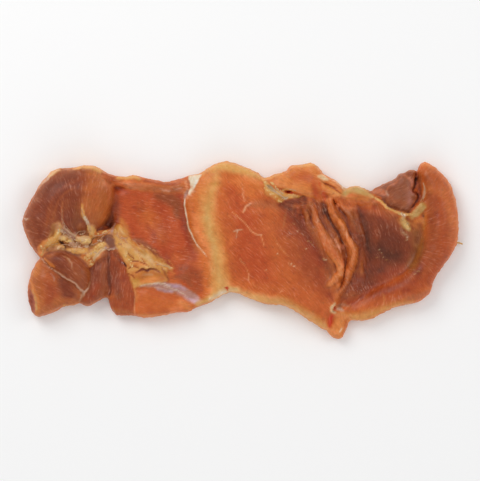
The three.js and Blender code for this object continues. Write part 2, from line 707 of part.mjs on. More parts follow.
function thigh() {
  const edge = outerEdge();
  const count = edge.length;
  const positions = [];
  const faces = [];
  const rings = SIDE.map(({ inset, share }) => {
    const ring = insetLine(edge, inset);
    return ring.map((p) => positions.push([p.x, p.y, share * topAt(p)]) - 1);
  });
  for (let r = 0; r + 1 < rings.length; r++) {
    for (let i = 0; i < count; i++) {
      const j = (i + 1) % count;
      const [low, lowNext, high, highNext] = [rings[r][i], rings[r][j], rings[r + 1][i], rings[r + 1][j]];
      faces.push([low, lowNext, highNext], [low, highNext, high]);
    }
  }

  const border = insetLine(edge, SIDE.at(-1).inset);
  const corners = spreadCorners(border);
  const cornerAt = (p) => positions.push([p.x, p.y, topAt(p)]) - 1;
  const index = corners.map((p, i) => (i < count ? rings.at(-1)[i] : cornerAt(p)));
  for (const triangle of trianglesBetween(corners)) {
    const middle = triangle.reduce((sum, i) => sum.add(corners[i]), new THREE.Vector2()).divideScalar(3);
    if (depthInside(middle, border) > 0) faces.push(triangle.map((i) => index[i]));
  }
  const below = insetLine(edge, SIDE[0].inset);
  for (const [a, b, c] of THREE.ShapeUtils.triangulateShape(below, [])) {
    faces.push([rings[0][a], rings[0][c], rings[0][b]]);
  }
  return openings().reduce((meat, opening) => meat.subtract(opening), solidOf(positions, faces));
}

// Small deep openings: the pocket under the lip of the flap, and the hole where the folds are pinched
function openings() {
  const pocket = ([x, y], z, [length, width, depth], turn) => {
    const at = place([x, y]);
    const ball = new THREE.SphereGeometry(1, 14, 8).scale(length, width, depth);
    return solidFrom(ball.rotateZ(THREE.MathUtils.degToRad(turn)).translate(at.x, at.y, z));
  };
  return [pocket([23.4, 28.1], 14, [2.3, 0.85, 5], -8), pocket([45.3, -27.5], 11.5, [0.9, 1.1, 5], 0)];
}

function solidOf(positions, faces) {
  return new wasm.Manifold(
    new wasm.Mesh({
      numProp: 3,
      vertProperties: new Float32Array(positions.flat()),
      triVerts: new Uint32Array(faces.flat()),
    }),
  );
}

function solidFrom(geometry) {
  for (const name of ["normal", "uv"]) geometry.deleteAttribute(name);
  const { attributes, index } = mergeVertices(geometry, 1e-4);
  return solidOf([...attributes.position.array], [...index.array]);
}

function geometryOf(solid) {
  const mesh = solid.getMesh();
  const positions = new Float32Array(mesh.numVert * 3);
  for (let i = 0; i < mesh.numVert; i++) {
    positions.set(mesh.vertProperties.subarray(i * mesh.numProp, i * mesh.numProp + 3), i * 3);
  }
  const geometry = new THREE.BufferGeometry()
    .setAttribute("position", new THREE.BufferAttribute(positions, 3))
    .setIndex(new THREE.BufferAttribute(mesh.triVerts, 1));
  geometry.computeVertexNormals();
  return geometry;
}

const meat = new THREE.MeshStandardMaterial({ color: 0xb5623a, roughness: 0.45, metalness: 0 });
const body = new THREE.Mesh(geometryOf(thigh()), meat);
body.name = "chicken_thigh";

// The origin goes under the middle of the whole
const whole = new THREE.Box3().setFromObject(body);
body.geometry.translate(-(whole.min.x + whole.max.x) / 2, -(whole.min.y + whole.max.y) / 2, 0);

const group = new THREE.Group();
group.add(body);
export default group;
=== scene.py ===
# %% [markdown]
# # A boned and marinated chicken thigh
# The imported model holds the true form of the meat: its lobes, folds, bowl and rolled rim. This lesson
# dresses that form. It makes a finer copy of the meat, cuts creases and raises strings of fat on it, paints
# its tissues, and lays small loose things on it: clods of fat, crumbs of gristle and threads of tendon.

import math

import bmesh
import bpy
import numpy as np
from mathutils import Matrix, Vector, noise
from mathutils.bvhtree import BVHTree
from mathutils.kdtree import KDTree


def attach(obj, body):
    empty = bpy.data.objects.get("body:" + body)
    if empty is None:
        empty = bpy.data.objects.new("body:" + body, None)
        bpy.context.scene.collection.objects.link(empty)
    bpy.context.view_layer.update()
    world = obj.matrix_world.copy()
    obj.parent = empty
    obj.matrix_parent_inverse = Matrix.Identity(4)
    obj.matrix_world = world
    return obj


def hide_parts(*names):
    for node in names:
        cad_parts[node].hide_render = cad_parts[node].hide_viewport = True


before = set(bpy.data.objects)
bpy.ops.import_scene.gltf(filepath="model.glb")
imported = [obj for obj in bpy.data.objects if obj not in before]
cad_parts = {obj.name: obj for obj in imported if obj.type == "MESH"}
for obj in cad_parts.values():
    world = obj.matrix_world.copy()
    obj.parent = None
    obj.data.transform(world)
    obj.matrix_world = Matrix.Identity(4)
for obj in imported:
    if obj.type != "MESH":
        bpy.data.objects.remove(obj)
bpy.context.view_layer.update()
MM = 0.001
cad_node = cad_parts["chicken_thigh"]

# %% [markdown]
# ## Camera
# The meat was seen from straight above and far away, so its outline shows no perspective. A long lens two
# metres up gives the same flat view. The frame is almost square, and is a little wider than the strip.

# %% Camera
FRAME_HEIGHT = 230.9 * MM
FRAME_MIDDLE = Vector((-0.24, 4.8, 0)) * MM
MEAT_LEVEL = 8 * MM
CAMERA_HEIGHT = 2.0

camera = bpy.data.objects.new("camera", bpy.data.cameras.new("camera"))
bpy.context.collection.objects.link(camera)
camera.location = FRAME_MIDDLE + Vector((0, 0, CAMERA_HEIGHT))
camera.data.sensor_width = 36
camera.data.lens = camera.data.sensor_width * (CAMERA_HEIGHT - MEAT_LEVEL) / FRAME_HEIGHT
camera.data.clip_end = 10
bpy.context.scene.camera = camera
print("the lens is", round(camera.data.lens), "mm long")

# %% [markdown]
# ## Light
# Large soft lamps round the meat model its folds gently, and a pale world fills the shadows. The lamps stand
# low enough that wet slopes catch them while flat meat keeps its own deep colour.

# %% Light
world = bpy.data.worlds.new("studio")
bpy.context.scene.world = world
world.use_nodes = True
world.node_tree.nodes["Background"].inputs["Color"].default_value = (1, 1, 1, 1)
world.node_tree.nodes["Background"].inputs["Strength"].default_value = 0.6
bpy.context.scene.view_settings.view_transform = "Standard"


def soft_lamp(name, place, side, watts):
    """A square lamp that faces the meat."""
    lamp = bpy.data.objects.new(name, bpy.data.lights.new(name, "AREA"))
    bpy.context.collection.objects.link(lamp)
    lamp.data.shape = "SQUARE"
    lamp.data.size = side
    lamp.data.energy = watts
    lamp.location = place
    lamp.rotation_euler = (-Vector(place)).to_track_quat("-Z", "Y").to_euler()
    return lamp


soft_lamp("key_lamp", (-0.5, 0.6, 0.75), 0.6, 4.6)
soft_lamp("side_lamp", (0.8, 0.3, 0.7), 0.5, 1.8)
soft_lamp("low_lamp", (0.1, -0.9, 0.6), 0.6, 1.4)
print("lamps:", [lamp.name for lamp in bpy.data.lights])

# %% [markdown]
# ## Floor
# A plain pale sheet just under the meat. It is only the stage, so it isn't part of the object.

# %% Floor
FLOOR_HALF = 1.5
FLOOR_DROP = 0.2 * MM


def shade_smooth(mesh):
    """Lets light run over a mesh without facets."""
    mesh.polygons.foreach_set("use_smooth", [True] * len(mesh.polygons))


def new_piece(name, bm):
    """A smooth-shaded object of that name from a bmesh, which is then freed."""
    mesh = bpy.data.meshes.new(name)
    bm.to_mesh(mesh)
    bm.free()
    shade_smooth(mesh)
    piece = bpy.data.objects.new(name, mesh)
    bpy.context.collection.objects.link(piece)
    return piece


sheet = bmesh.new()
bmesh.ops.create_grid(sheet, x_segments=1, y_segments=1, size=FLOOR_HALF)
bmesh.ops.translate(sheet, verts=sheet.verts, vec=(0, 0, -FLOOR_DROP))
floor = new_piece("floor", sheet)
floor_material = bpy.data.materials.new("white_floor")
floor_material.use_nodes = True
floor_material.node_tree.nodes["Principled BSDF"].inputs["Base Color"].default_value = (0.93, 0.93, 0.93, 1)
floor_material.node_tree.nodes["Principled BSDF"].inputs["Roughness"].default_value = 0.9
floor.data.materials.append(floor_material)
print("the floor is", 2 * FLOOR_HALF, "m wide")

# %% [markdown]
# ## A finer body of meat
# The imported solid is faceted. Its copy is merged, rounded by Subdivision Surface and rebuilt by a voxel
# Remesh, which gives even little faces that take relief and paint well. The flat underside needs none of
# those, so it is cut out inside a narrow border and closed again with large faces.

# %% Remesh the meat
VOXEL = 0.6 * MM
MERGE = 0.001 * MM
UNDERSIDE_BORDER = 2.5 * MM
EVENING_ROUNDS = 4


def evened(bm, verts):
    """Moves each of the vertices half way to the middle of its neighbours."""
    bmesh.ops.smooth_vert(bm, verts=verts, factor=0.5, use_axis_x=True, use_axis_y=True, use_axis_z=True)


def bake_modifiers(piece):
    """Replaces a piece's mesh by what its modifiers make of it."""
    evaluated = piece.evaluated_get(bpy.context.evaluated_depsgraph_get())
    mesh = bpy.data.meshes.new_from_object(evaluated)
    piece.modifiers.clear()
    piece.data = mesh


def remesh(piece, voxel, levels=0):
    """Melts a piece into one even skin, after rounding it with Subdivision Surface."""
    if levels:
        rounding = piece.modifiers.new("rounding", "SUBSURF")
        rounding.levels = levels
        rounding.render_levels = levels
    skin = piece.modifiers.new("skin", "REMESH")
    skin.mode = "VOXEL"
    skin.voxel_size = voxel
    skin.use_smooth_shade = True
    bake_modifiers(piece)


solid = bmesh.new()
solid.from_mesh(cad_node.data)
bmesh.ops.remove_doubles(solid, verts=solid.verts, dist=MERGE)
meat = new_piece("thigh_meat", solid)
remesh(meat, VOXEL, levels=2)

solid = bmesh.new()
solid.from_mesh(meat.data)
for _ in range(EVENING_ROUNDS):
    upper = [v for v in solid.verts if v.co.z > VOXEL]
    evened(solid, upper)
border = [v.co.xy for v in solid.verts if VOXEL < v.co.z < 2 * VOXEL]
border_tree = KDTree(len(border))
for number, (x, y) in enumerate(border):
    border_tree.insert((x, y, 0), number)
border_tree.balance()


def deep_under(face):
    """True for a face of the flat underside that lies well inside its border."""
    middle = face.calc_center_median()
    if middle.z > 0.2 * VOXEL:
        return False
    return border_tree.find((middle.x, middle.y, 0))[2] > UNDERSIDE_BORDER


under = [face for face in solid.faces if deep_under(face)]
bmesh.ops.delete(solid, geom=under, context="FACES")
rim = [edge for edge in solid.edges if edge.is_boundary]
closed = bmesh.ops.holes_fill(solid, edges=rim, sides=0)
bmesh.ops.triangulate(solid, faces=closed["faces"])
bmesh.ops.recalc_face_normals(solid, faces=solid.faces)
solid.to_mesh(meat.data)
solid.free()
shade_smooth(meat.data)
print("the fine body has", len(meat.data.polygons), "faces; removed below:", len(under))

# %% [markdown]
# ## Places on the meat
# Tissues aren't separate things on this meat: fat, membrane and muscle run into each other. So they are
# painted on the fine body. A mark is a line of stops [x, y, half width] in millimetres, a patch is a closed
# outline. How deep each point lies inside one tells how much of its colour and relief the point takes.
# A little noise shifts the points before they are measured, which makes every border ragged.

# %% Points, noise and the depth inside a mark or a patch
count = len(meat.data.vertices)
spots = np.empty(3 * count)
meat.data.vertices.foreach_get("co", spots)
spots = spots.reshape(-1, 3) / MM
normals = np.empty(3 * count)
meat.data.vertices.foreach_get("normal", normals)
normals = normals.reshape(-1, 3)


def ripple(points, size, seed):
    """Smooth noise from about -1 to 1 whose waves are as long as size."""
    shift = Vector((17.1, 5.3, 9.7)) * seed
    return np.array([noise.noise(Vector(point) / size + shift) for point in points])


def smoothly(share):
    """0 below 0, 1 above 1, and an even rise between."""
    share = np.clip(share, 0, 1)
    return share * share * (3 - 2 * share)


COARSE, FINE = 6.0, 1.7
COARSE_SHIFT, FINE_SHIFT = 1.2, 0.7
REACH = 8.0
FAR = 1e9
bend = np.stack([ripple(spots, COARSE, seed) for seed in (1, 2)], axis=1)
fray = np.stack([ripple(spots, FINE, seed) for seed in (3, 4)], axis=1)


def ragged_points(ragged):
    """Every point's place in the plan, shifted by noise."""
    return spots[:, :2] + ragged * (COARSE_SHIFT * bend + FINE_SHIFT * fray)


def rounded(stops, parts=3):
    """A smooth line through the stops, made of curved parts that meet without a corner."""
    stops = np.array(stops, float)
    if len(stops) < 3:
        return stops
    ends = np.vstack([2 * stops[0] - stops[1], stops, 2 * stops[-1] - stops[-2]])
    line = []
    for a, b, c, d in zip(ends, ends[1:], ends[2:], ends[3:]):
        for t in np.arange(parts) / parts:
            line.append(b + 0.5 * t * (c - a + t * (2 * a - 5 * b + 4 * c - d + t * (3 * (b - c) + d - a))))
    return np.array([*line, stops[-1]])


def near_box(line, points, reach):
    """The points inside a line's box grown by reach."""
    low, high = line[:, :2].min(axis=0) - reach, line[:, :2].max(axis=0) + reach
    return np.flatnonzero(((points > low) & (points < high)).all(axis=1))


def depth_in_mark(stops, ragged=0.4):
    """How far each point lies inside a line of stops [x, y, half width]."""
    line = rounded(stops)
    depth = np.full(count, -FAR)
    points = ragged_points(ragged)
    here = near_box(line, points, REACH)
    points = points[here]
    deepest = np.full(len(here), -FAR)
    for start, end in zip(line, line[1:]):
        way = end[:2] - start[:2]
        share = np.clip((points - start[:2]) @ way / (way @ way), 0, 1)
        apart = np.linalg.norm(points - start[:2] - share[:, None] * way, axis=1)
        deepest = np.maximum(deepest, start[2] + share * (end[2] - start[2]) - apart)
    depth[here] = deepest
    return depth


def depth_in_patch(outline, ragged=0.4):
    """How far each point lies inside a closed outline."""
    line = rounded([*outline, outline[0]])
    depth = np.full(count, -FAR)
    points = ragged_points(ragged)
    here = near_box(line, points, REACH)
    points = points[here]
    nearest = np.full(len(here), FAR)
    inside = np.zeros(len(here), bool)
    for start, end in zip(line, line[1:]):
        way = end - start
        share = np.clip((points - start) @ way / (way @ way), 0, 1)
        nearest = np.minimum(nearest, np.linalg.norm(points - start - share[:, None] * way, axis=1))
        crosses = (start[1] > points[:, 1]) != (end[1] > points[:, 1])
        slant = way[0] / (way[1] or 1e-9)
        inside ^= crosses & (points[:, 0] < start[0] + (points[:, 1] - start[1]) * slant)
    depth[here] = np.where(inside, nearest, -nearest)
    return depth


print("the body has", count, "points to paint")

# %% [markdown]
# ## The brush
# One brush does all the painting. It lays a colour, raises or cuts the surface, and says how fatty the
# tissue is, because fat is lumpy and muscle is fibrous. Colours are named by tissue, as the eye sees them.

# %% The brush and the tissues' colours
colour = np.zeros((count, 3))
lift = np.zeros(count)
fat = np.zeros(count)
torn = np.zeros(count)
laid = []

MUSCLE = (190, 97, 56)
RED_MUSCLE = (182, 84, 47)
# The brown and the dark muscle colours also serve as painted shade, below the clods, in pleats and by gaps.
BROWN_MUSCLE_AND_SHADE = (150, 80, 52)
DARK_MUSCLE_AND_SHADE = (134, 68, 44)
DEEP_MUSCLE = (163, 80, 48)
TAN_MUSCLE = (176, 98, 60)
WARM_MUSCLE = (198, 106, 60)
ORANGE_MUSCLE = (210, 126, 72)
PINK_MUSCLE = (184, 106, 74)
PURPLE_MUSCLE = (146, 84, 64)
# SHADE, VALLEY_SHADE and PIT_SHADE are painted shade: the dark of gaps, creases, holes and the undersides of
# lips.
SHADE = (104, 54, 42)
VALLEY_SHADE = (116, 60, 42)
PIT_SHADE = (90, 30, 18)
BLOOD = (202, 70, 32)
RED_CORE = (204, 52, 0)
FAT = (210, 152, 86)
ORANGE_FAT = (196, 116, 66)
PALE_FAT = (216, 174, 118)
OLIVE_FAT = (192, 148, 88)
CREAM = (220, 200, 154)
MEMBRANE = (202, 160, 124)
THREAD = (220, 154, 108)
# A grey stain colour, also laid as a grey painted shadow beside the tendon under the flap.
STAIN_AND_SHADOW = (148, 124, 92)
OLIVE_MUSCLE = (140, 88, 54)
TANGLE = (188, 128, 86)
FILM = (176, 136, 118)
VEIL = (186, 146, 142)
GRISTLE = (130, 80, 66)


def brush(tint, depth, soft, strength, raised, fatty):
    """Lays a tissue where depth is above nothing, with a border as wide as soft."""
    laid.append(tint)
    share = strength * smoothly(depth / soft + 0.5)
    colour[:] += share[:, None] * (np.array(tint) - colour)
    lift[:] += raised * share
    if fatty is not None:
        fat[:] += share * (fatty - fat)


PATCH_RAGGED = 0.6
STRING_RAGGED = 0.9


def mark(tint, stops, soft, strength=1.0, raised=0.0, fatty=None, ragged=0.55):
    """Paints along a line of stops [x, y, half width]."""
    brush(tint, depth_in_mark(stops, ragged), soft, strength, raised, fatty)


def patch(tint, outline, soft, raised=0.0, fatty=None):
    """Paints inside an outline."""
    brush(tint, depth_in_patch(outline, PATCH_RAGGED), soft, 1.0, raised, fatty)


def fat_string(tint, stops, soft, raised):
    """Paints and raises a ragged string of pure fat."""
    mark(tint, stops, soft, raised=raised, fatty=1, ragged=STRING_RAGGED)


DARKER = (0.86, 0.78, 0.70)
PALER = (1.12, 1.20, 1.26)


def glaze(tone, depth, soft, strength):
    """Darkens or lightens what is painted, and keeps its details."""
    share = strength * smoothly(depth / soft + 0.5)
    colour[:] *= 1 + share[:, None] * (np.array(tone) - 1)


def shred_and_glint(depth, soft, strength):
    """Marks where pale shreds of torn membrane and painted glints lie."""
    torn[:] = np.maximum(torn, strength * smoothly(depth / soft + 0.5))


def told(part):
    """Says what is painted, and how many strokes the brush has laid."""
    print(part, "painted;", len(laid), "strokes so far")


colour[:] = MUSCLE
print("the meat starts as plain muscle:", MUSCLE)

# %% [markdown]
# ## The round muscle and the shank
# The round muscle at the left end is darker than the rest, brown and a little purple where its skin was
# pulled off, and more orange towards the middle of the strip. Below it lie the cut shank end and the oval
# muscle in its pale wrapping.

# %% Paint the round muscle and the shank
patch(BROWN_MUSCLE_AND_SHADE, [(-105, 14), (-102, 4), (-97, -2), (-84, 5), (-73, 6.5), (-65, 11), (-61, 22), (-61, 30),
                     (-66, 36), (-73, 40), (-88, 40), (-97, 31)], soft=2)
mark(BROWN_MUSCLE_AND_SHADE, [(-103, 17, 3), (-100, 9, 4), (-97, 4, 4)], soft=5)
mark(DARK_MUSCLE_AND_SHADE, [(-84, 29, 5), (-83, 20, 6), (-81, 14, 5)], soft=7)
mark(PURPLE_MUSCLE, [(-98, 25, 1.5), (-93, 29.5, 2.5), (-87, 34, 3), (-80, 36, 2.5)], soft=4, strength=0.75)
mark(TAN_MUSCLE, [(-70, 33, 6), (-67, 25, 5), (-68, 17, 4), (-72, 22, 5)], soft=6)
mark(TAN_MUSCLE, [(-92.6, 11, 0.4), (-92, 19, 0.7), (-88.4, 26.6, 0.7), (-82, 32, 0.6), (-76, 34.4, 0.3)],
     soft=2.4, strength=0.5)
mark(TAN_MUSCLE, [(-89.4, 15, 0.4), (-88.4, 21, 0.5), (-85, 26.4, 0.5), (-79, 30.6, 0.4)], soft=1.8,
     strength=0.5)
mark(OLIVE_MUSCLE, [(-80, 11, 1.6), (-78, 16, 2), (-79, 21, 1.2)], soft=5, strength=0.35)
mark(DARK_MUSCLE_AND_SHADE, [(-93, 30, 0.6), (-88, 32, 1), (-83, 33, 0.8)], soft=2.4, strength=0.5)
mark(WARM_MUSCLE, [(-73, 30, 1), (-69.6, 26, 1.4), (-68.6, 20, 1)], soft=5, strength=0.5)
mark(PINK_MUSCLE, [(-64, 32, 1), (-62.4, 27, 1), (-62.8, 22, 0.8)], soft=2.5, strength=0.7)
mark(FAT, [(-80, 39.6, 0.8), (-75, 40.4, 1.3), (-70, 40, 1.5), (-67, 38.2, 1.2)], soft=2, fatty=0.5)
mark(DEEP_MUSCLE, [(-66, 36.2, 1), (-62, 34.4, 1.2), (-57, 33.2, 1)], soft=2)
mark(PALE_FAT, [(-92.5, 35.4, 0.9), (-90, 37.4, 1.2), (-87, 38.9, 1)], soft=1, raised=0.3, fatty=1)
mark(MEMBRANE, [(-98, 29.6, 0.3), (-95, 32.4, 0.7), (-92.5, 34.8, 0.8)], soft=0.8, raised=0.2)
mark(TAN_MUSCLE, [(-104.6, 22, 0.6), (-105, 14, 1), (-102.6, 6, 1), (-99, 0, 0.8)], soft=3, strength=0.8)
mark(MEMBRANE, [(-104, 15.2, 0.2), (-102.6, 15, 0.4), (-101, 15.2, 0.2)], soft=0.5, raised=0.15)
mark(PINK_MUSCLE, [(-85.2, 24, 0.3), (-85.5, 18, 0.5), (-85.4, 14, 0.5)], soft=1, strength=0.7)
mark(MEMBRANE, [(-85.4, 15, 0.25), (-84.2, 11.8, 0.3), (-81.6, 8.6, 0.3), (-78.6, 5.6, 0.35)], soft=0.6,
     strength=0.7)
mark(FAT, [(-75.4, 22, 0.4), (-75.2, 18, 0.7), (-74, 15, 0.7)], soft=1, raised=0.2, fatty=1)
mark(CREAM, [(-74.4, 16, 0.5), (-73.2, 13.4, 0.7), (-72.2, 11.6, 0.6)], soft=0.6, raised=0.3)
# Painted shade and cast shadow in the gap to the right of the round muscle.
mark(SHADE, [(-61.4, 24, 0.4), (-62, 20, 0.6), (-63.4, 15, 0.9), (-66, 11.4, 0.9)], soft=2.5, strength=0.5)
patch(VALLEY_SHADE, [(-61.2, 19), (-62, 15), (-64, 11.4), (-67.4, 9.4), (-65, 9.4), (-61.6, 10), (-60.4, 13)],
      soft=1.8)
mark(PIT_SHADE, [(-66, 10.2, 0.3), (-64, 11, 0.5), (-62.4, 12.8, 0.4)], soft=1.6, strength=0.7)
mark(DEEP_MUSCLE, [(-60.6, 14.6, 0.8), (-60, 11.6, 0.8)], soft=2, strength=0.7)
patch(DEEP_MUSCLE, [(-61.4, 30.6), (-61, 27.2), (-58, 28.6), (-55.2, 30.1), (-59, 30.9)], soft=1.2,
      raised=-0.1)

patch(TAN_MUSCLE, [(-103, -19), (-101.4, -29), (-98.6, -33), (-87, -29.6), (-76.5, -25.6), (-75, -20.2),
                   (-84, -13.4), (-90.4, -9.8), (-95.4, -4), (-99, -4.6), (-101, -10)], soft=0.8)
mark(DEEP_MUSCLE, [(-92, -13, 3), (-90.5, -19, 3.5), (-92, -25, 2)], soft=6)
mark(DARK_MUSCLE_AND_SHADE, [(-85.6, -14.6, 1.6), (-84, -18, 3), (-82, -21, 3.6)], soft=5)
mark(TAN_MUSCLE, [(-87.6, -25, 2), (-81, -25, 1.6)], soft=3)
mark(ORANGE_FAT, [(-97.6, -6.6, 1.6), (-98.6, -11, 1.6)], soft=3)
mark(ORANGE_FAT, [(-101, -14, 0.5), (-99.8, -18, 1), (-98.4, -23, 1.5), (-97.6, -28, 1.6), (-97.8, -31, 0.8)],
     soft=1.6, fatty=0.4)
mark(OLIVE_FAT, [(-100, -19, 0.2), (-98.6, -23, 0.4), (-98, -28, 0.5)], soft=1, strength=0.7)
patch(DEEP_MUSCLE, [(-102.6, -18.6), (-101, -19.6), (-99.7, -22.6), (-99, -26), (-99, -30), (-101, -29),
                    (-103, -25)], soft=0.8, raised=-0.3)
mark(OLIVE_FAT, [(-84.6, -26.6, 0.5), (-82, -27, 0.7), (-79, -26.2, 0.4)], soft=0.8, fatty=0.6)

patch(BROWN_MUSCLE_AND_SHADE, [(-95.4, -3), (-90, 0.4), (-86, 0.4), (-82, -0.4), (-78, -2.4), (-75, -5), (-72.2, -8.5),
                     (-71.2, -12), (-71.5, -15.6), (-73, -19), (-75.2, -20), (-90.5, -9.6)], soft=0.7)
mark(DARK_MUSCLE_AND_SHADE, [(-89, -4.6, 1.5), (-86, -7, 2.4), (-83, -10, 2.4)], soft=4)
mark(PURPLE_MUSCLE, [(-90, -1.4, 1), (-85, -1.4, 1.2), (-80.4, -3.4, 0.8)], soft=2, strength=0.7)
mark(MEMBRANE, [(-95.4, -4, 0.2), (-90.8, -8.4, 0.2), (-86.4, -11.3, 0.25), (-83.2, -12.9, 0.4),
                (-80, -15.2, 0.45), (-76, -19, 0.6)], soft=0.6, strength=0.9, raised=0.25)
mark(MEMBRANE, [(-75.2, -20, 0.8), (-73, -18.4, 0.45), (-71.4, -14, 0.4), (-71.4, -9.4, 0.3)], soft=0.5,
     raised=0.2)
mark(MEMBRANE, [(-75.2, -20, 0.9), (-76, -22.6, 0.7), (-77.4, -24.8, 0.4)], soft=0.7, strength=0.8)
# A painted highlight, laid in the membrane's colour.
mark(MEMBRANE, [(-84, -3.2, 0.2), (-82.2, -4.6, 0.4), (-80.8, -6.4, 0.3), (-80.4, -9, 0.1)], soft=0.7,
     strength=0.6, raised=0.12)
mark(ORANGE_FAT, [(-93.6, -4.2, 0.5), (-91.8, -5.8, 0.5), (-90.2, -7, 0.6), (-89, -7.8, 0.5)], soft=0.6,
     raised=0.2)
mark(FILM, [(-90.6, -11.2, 0.2), (-89.6, -13, 0.4), (-89.2, -14.6, 0.2)], soft=0.6, strength=0.6)
told("the round muscle and the shank")

# %% [markdown]
# ## The joint
# Where the bone was cut out, strings and lumps of yellow fat lie between dark gaps, with grey gristle and
# threads of tendon. The fat is raised and lumpy, and the gaps between its strings are cut in and painted dark
# as shade.

# %% Paint the joint's fat and gristle
patch(TANGLE, [(-96, -3), (-95.6, 3), (-91, 8), (-90, 12.4), (-86.4, 13.4), (-83, 9.6), (-78, 7.4),
               (-74.4, 8), (-72.6, 12.4), (-70, 12), (-68.6, 8.4), (-64, 9.8), (-60, 10.6), (-58.6, 6),
               (-60, 0.4), (-65, 0), (-69, -4.4), (-72, -7.6), (-75, -5), (-80, -1.6), (-86, 0), (-91, 0)],
      soft=1.4, fatty=0.8)
mark(ORANGE_FAT, [(-95.6, -2.6, 1), (-95.4, 0.6, 2), (-93.4, 2.8, 1.6)], soft=1.4, fatty=1)
mark(ORANGE_MUSCLE, [(-94.6, -1.4, 0.7), (-94.2, 1.4, 0.9)], soft=1.4, strength=0.8)
fat_string(FAT, [(-94.4, 2.6, 1), (-92, 4, 1.8), (-88.6, 4.6, 1.8), (-87.4, 3.6, 1)], soft=1.4, raised=0.2)
mark(ORANGE_FAT, [(-95.2, 1, 1.4), (-94.2, 4, 1), (-92, 5.8, 0.6)], soft=1.6, strength=0.8)
fat_string(FAT, [(-89.6, 6, 1.5), (-87.6, 8.2, 1.3), (-86.4, 10.4, 0.7), (-86.6, 12.4, 0.3)], soft=1.6,
           raised=0.2)
fat_string(PALE_FAT, [(-86.6, 6.4, 1), (-83.4, 5.6, 1.2), (-80.6, 4, 1)], soft=1.2, raised=0.2)
fat_string(PALE_FAT, [(-86.8, 1.8, 0.9), (-85, 1.8, 1), (-84, 1.2, 0.5)], soft=0.8, raised=0.3)
fat_string(FAT, [(-82.4, 0.4, 0.6), (-79.4, 0, 1.1), (-76, 0, 1.2), (-73.6, 0.6, 1)], soft=1, raised=0.3)
fat_string(PALE_FAT, [(-78.4, 5.6, 1.2), (-74.8, 5, 2.1), (-72, 4.6, 1.7)], soft=1, raised=0.4)
fat_string(FAT, [(-72.4, 11, 1.1), (-71, 8.4, 1.6), (-71.2, 5.4, 1.2)], soft=1, raised=0.3)
fat_string(ORANGE_FAT, [(-70.2, 7.2, 0.7), (-67, 8.2, 0.9), (-63.6, 9.2, 0.9)], soft=1, raised=0.25)
fat_string(ORANGE_FAT, [(-75.8, -2.4, 1), (-73, -3.8, 1.7), (-71.9, -6.2, 1)], soft=1, raised=0.2)
fat_string(FAT, [(-72.6, -1.8, 1.1), (-70.4, -0.4, 1.7), (-68, 1.8, 1.9), (-65.8, 3.4, 1.1)], soft=1,
           raised=0.3)
mark(ORANGE_FAT, [(-70.6, -4, 0.7), (-68.4, -3.6, 0.8), (-67, -1.4, 0.7)], soft=1.4, fatty=0.8)
fat_string(PALE_FAT, [(-70.4, -4.2, 0.8), (-69, -2, 0.9), (-66.6, 0.6, 0.8)], soft=0.9, raised=0.2)
fat_string(PALE_FAT, [(-65.6, 1.2, 0.8), (-63.8, 0.8, 0.7), (-62, 0.4, 0.6)], soft=0.8, raised=0.2)
mark(FILM, [(-85.6, 10, 0.7), (-82.4, 7.4, 0.9), (-79.6, 5.6, 0.8)], soft=1.2, strength=0.8)
mark(CREAM, [(-84.6, 11.6, 0.2), (-82, 8.8, 0.4), (-79.4, 7, 0.3)], soft=0.8, strength=0.7)
mark(MEMBRANE, [(-81.6, 3.4, 0.7), (-79, 2.4, 1.1), (-77.4, 3.4, 0.8)], soft=1, strength=0.8)
mark(FILM, [(-79, 8.4, 0.8), (-76.6, 8.6, 0.9), (-74.8, 9.2, 0.6)], soft=1, strength=0.6)
# Painted shade in the gaps between the fat strings.
mark(SHADE, [(-87.2, 5.2, 0.2), (-86.2, 3.8, 0.5), (-84.8, 3.2, 0.3), (-83.8, 1.4, 0.3)], soft=0.8,
     raised=-0.4)
mark(GRISTLE, [(-83.6, -0.4, 0.4), (-80, -1.6, 0.5), (-76.4, -2.2, 0.4)], soft=0.8, strength=0.8)
mark(VALLEY_SHADE, [(-72.6, 2.6, 0.2), (-71.2, 4.4, 0.3), (-70.2, 6, 0.3), (-69, 6.2, 0.3)], soft=0.7, raised=-0.3)
mark(BROWN_MUSCLE_AND_SHADE, [(-76.4, 1.8, 0.2), (-75.4, 1.8, 0.3), (-72, 1.6, 0.1), (-70.8, 1.2, 0.3)], soft=0.7,
     strength=0.5, raised=-0.2)
mark(ORANGE_FAT, [(-70.4, 4.2, 0.9), (-68.8, 5, 0.8)], soft=0.9)
mark(GRISTLE, [(-64.8, 6.2, 1), (-63.2, 5.4, 1.8), (-61.8, 3.2, 1.7), (-62, 0.8, 1)], soft=1, raised=0.2)
mark(VALLEY_SHADE, [(-66, 4.2, 0.2), (-65.8, 6.2, 0.3), (-64, 7.6, 0.2), (-61.6, 7.2, 0.2), (-60, 4.4, 0.2)],
     soft=0.8, raised=-0.3)
mark(FILM, [(-64.8, 1.6, 0.4), (-63.4, 0.6, 0.5), (-60.4, 1.2, 0.5), (-59.2, 0.4, 0.4)], soft=0.6)
mark(FILM, [(-61.8, 9, 0.5), (-61.2, 11, 0.6), (-60.6, 12.6, 0.4)], soft=0.9, strength=0.8)
told("the joint")

# %% [markdown]
# ## The lower muscles and the fat seam
# Two red-brown muscles hang below the joint with a crease between them, painted dark as shade. To their
# right a broad seam of yellow fat runs down the sheet, wrinkled and torn, to a tab of pale muscle under a
# silvery film.

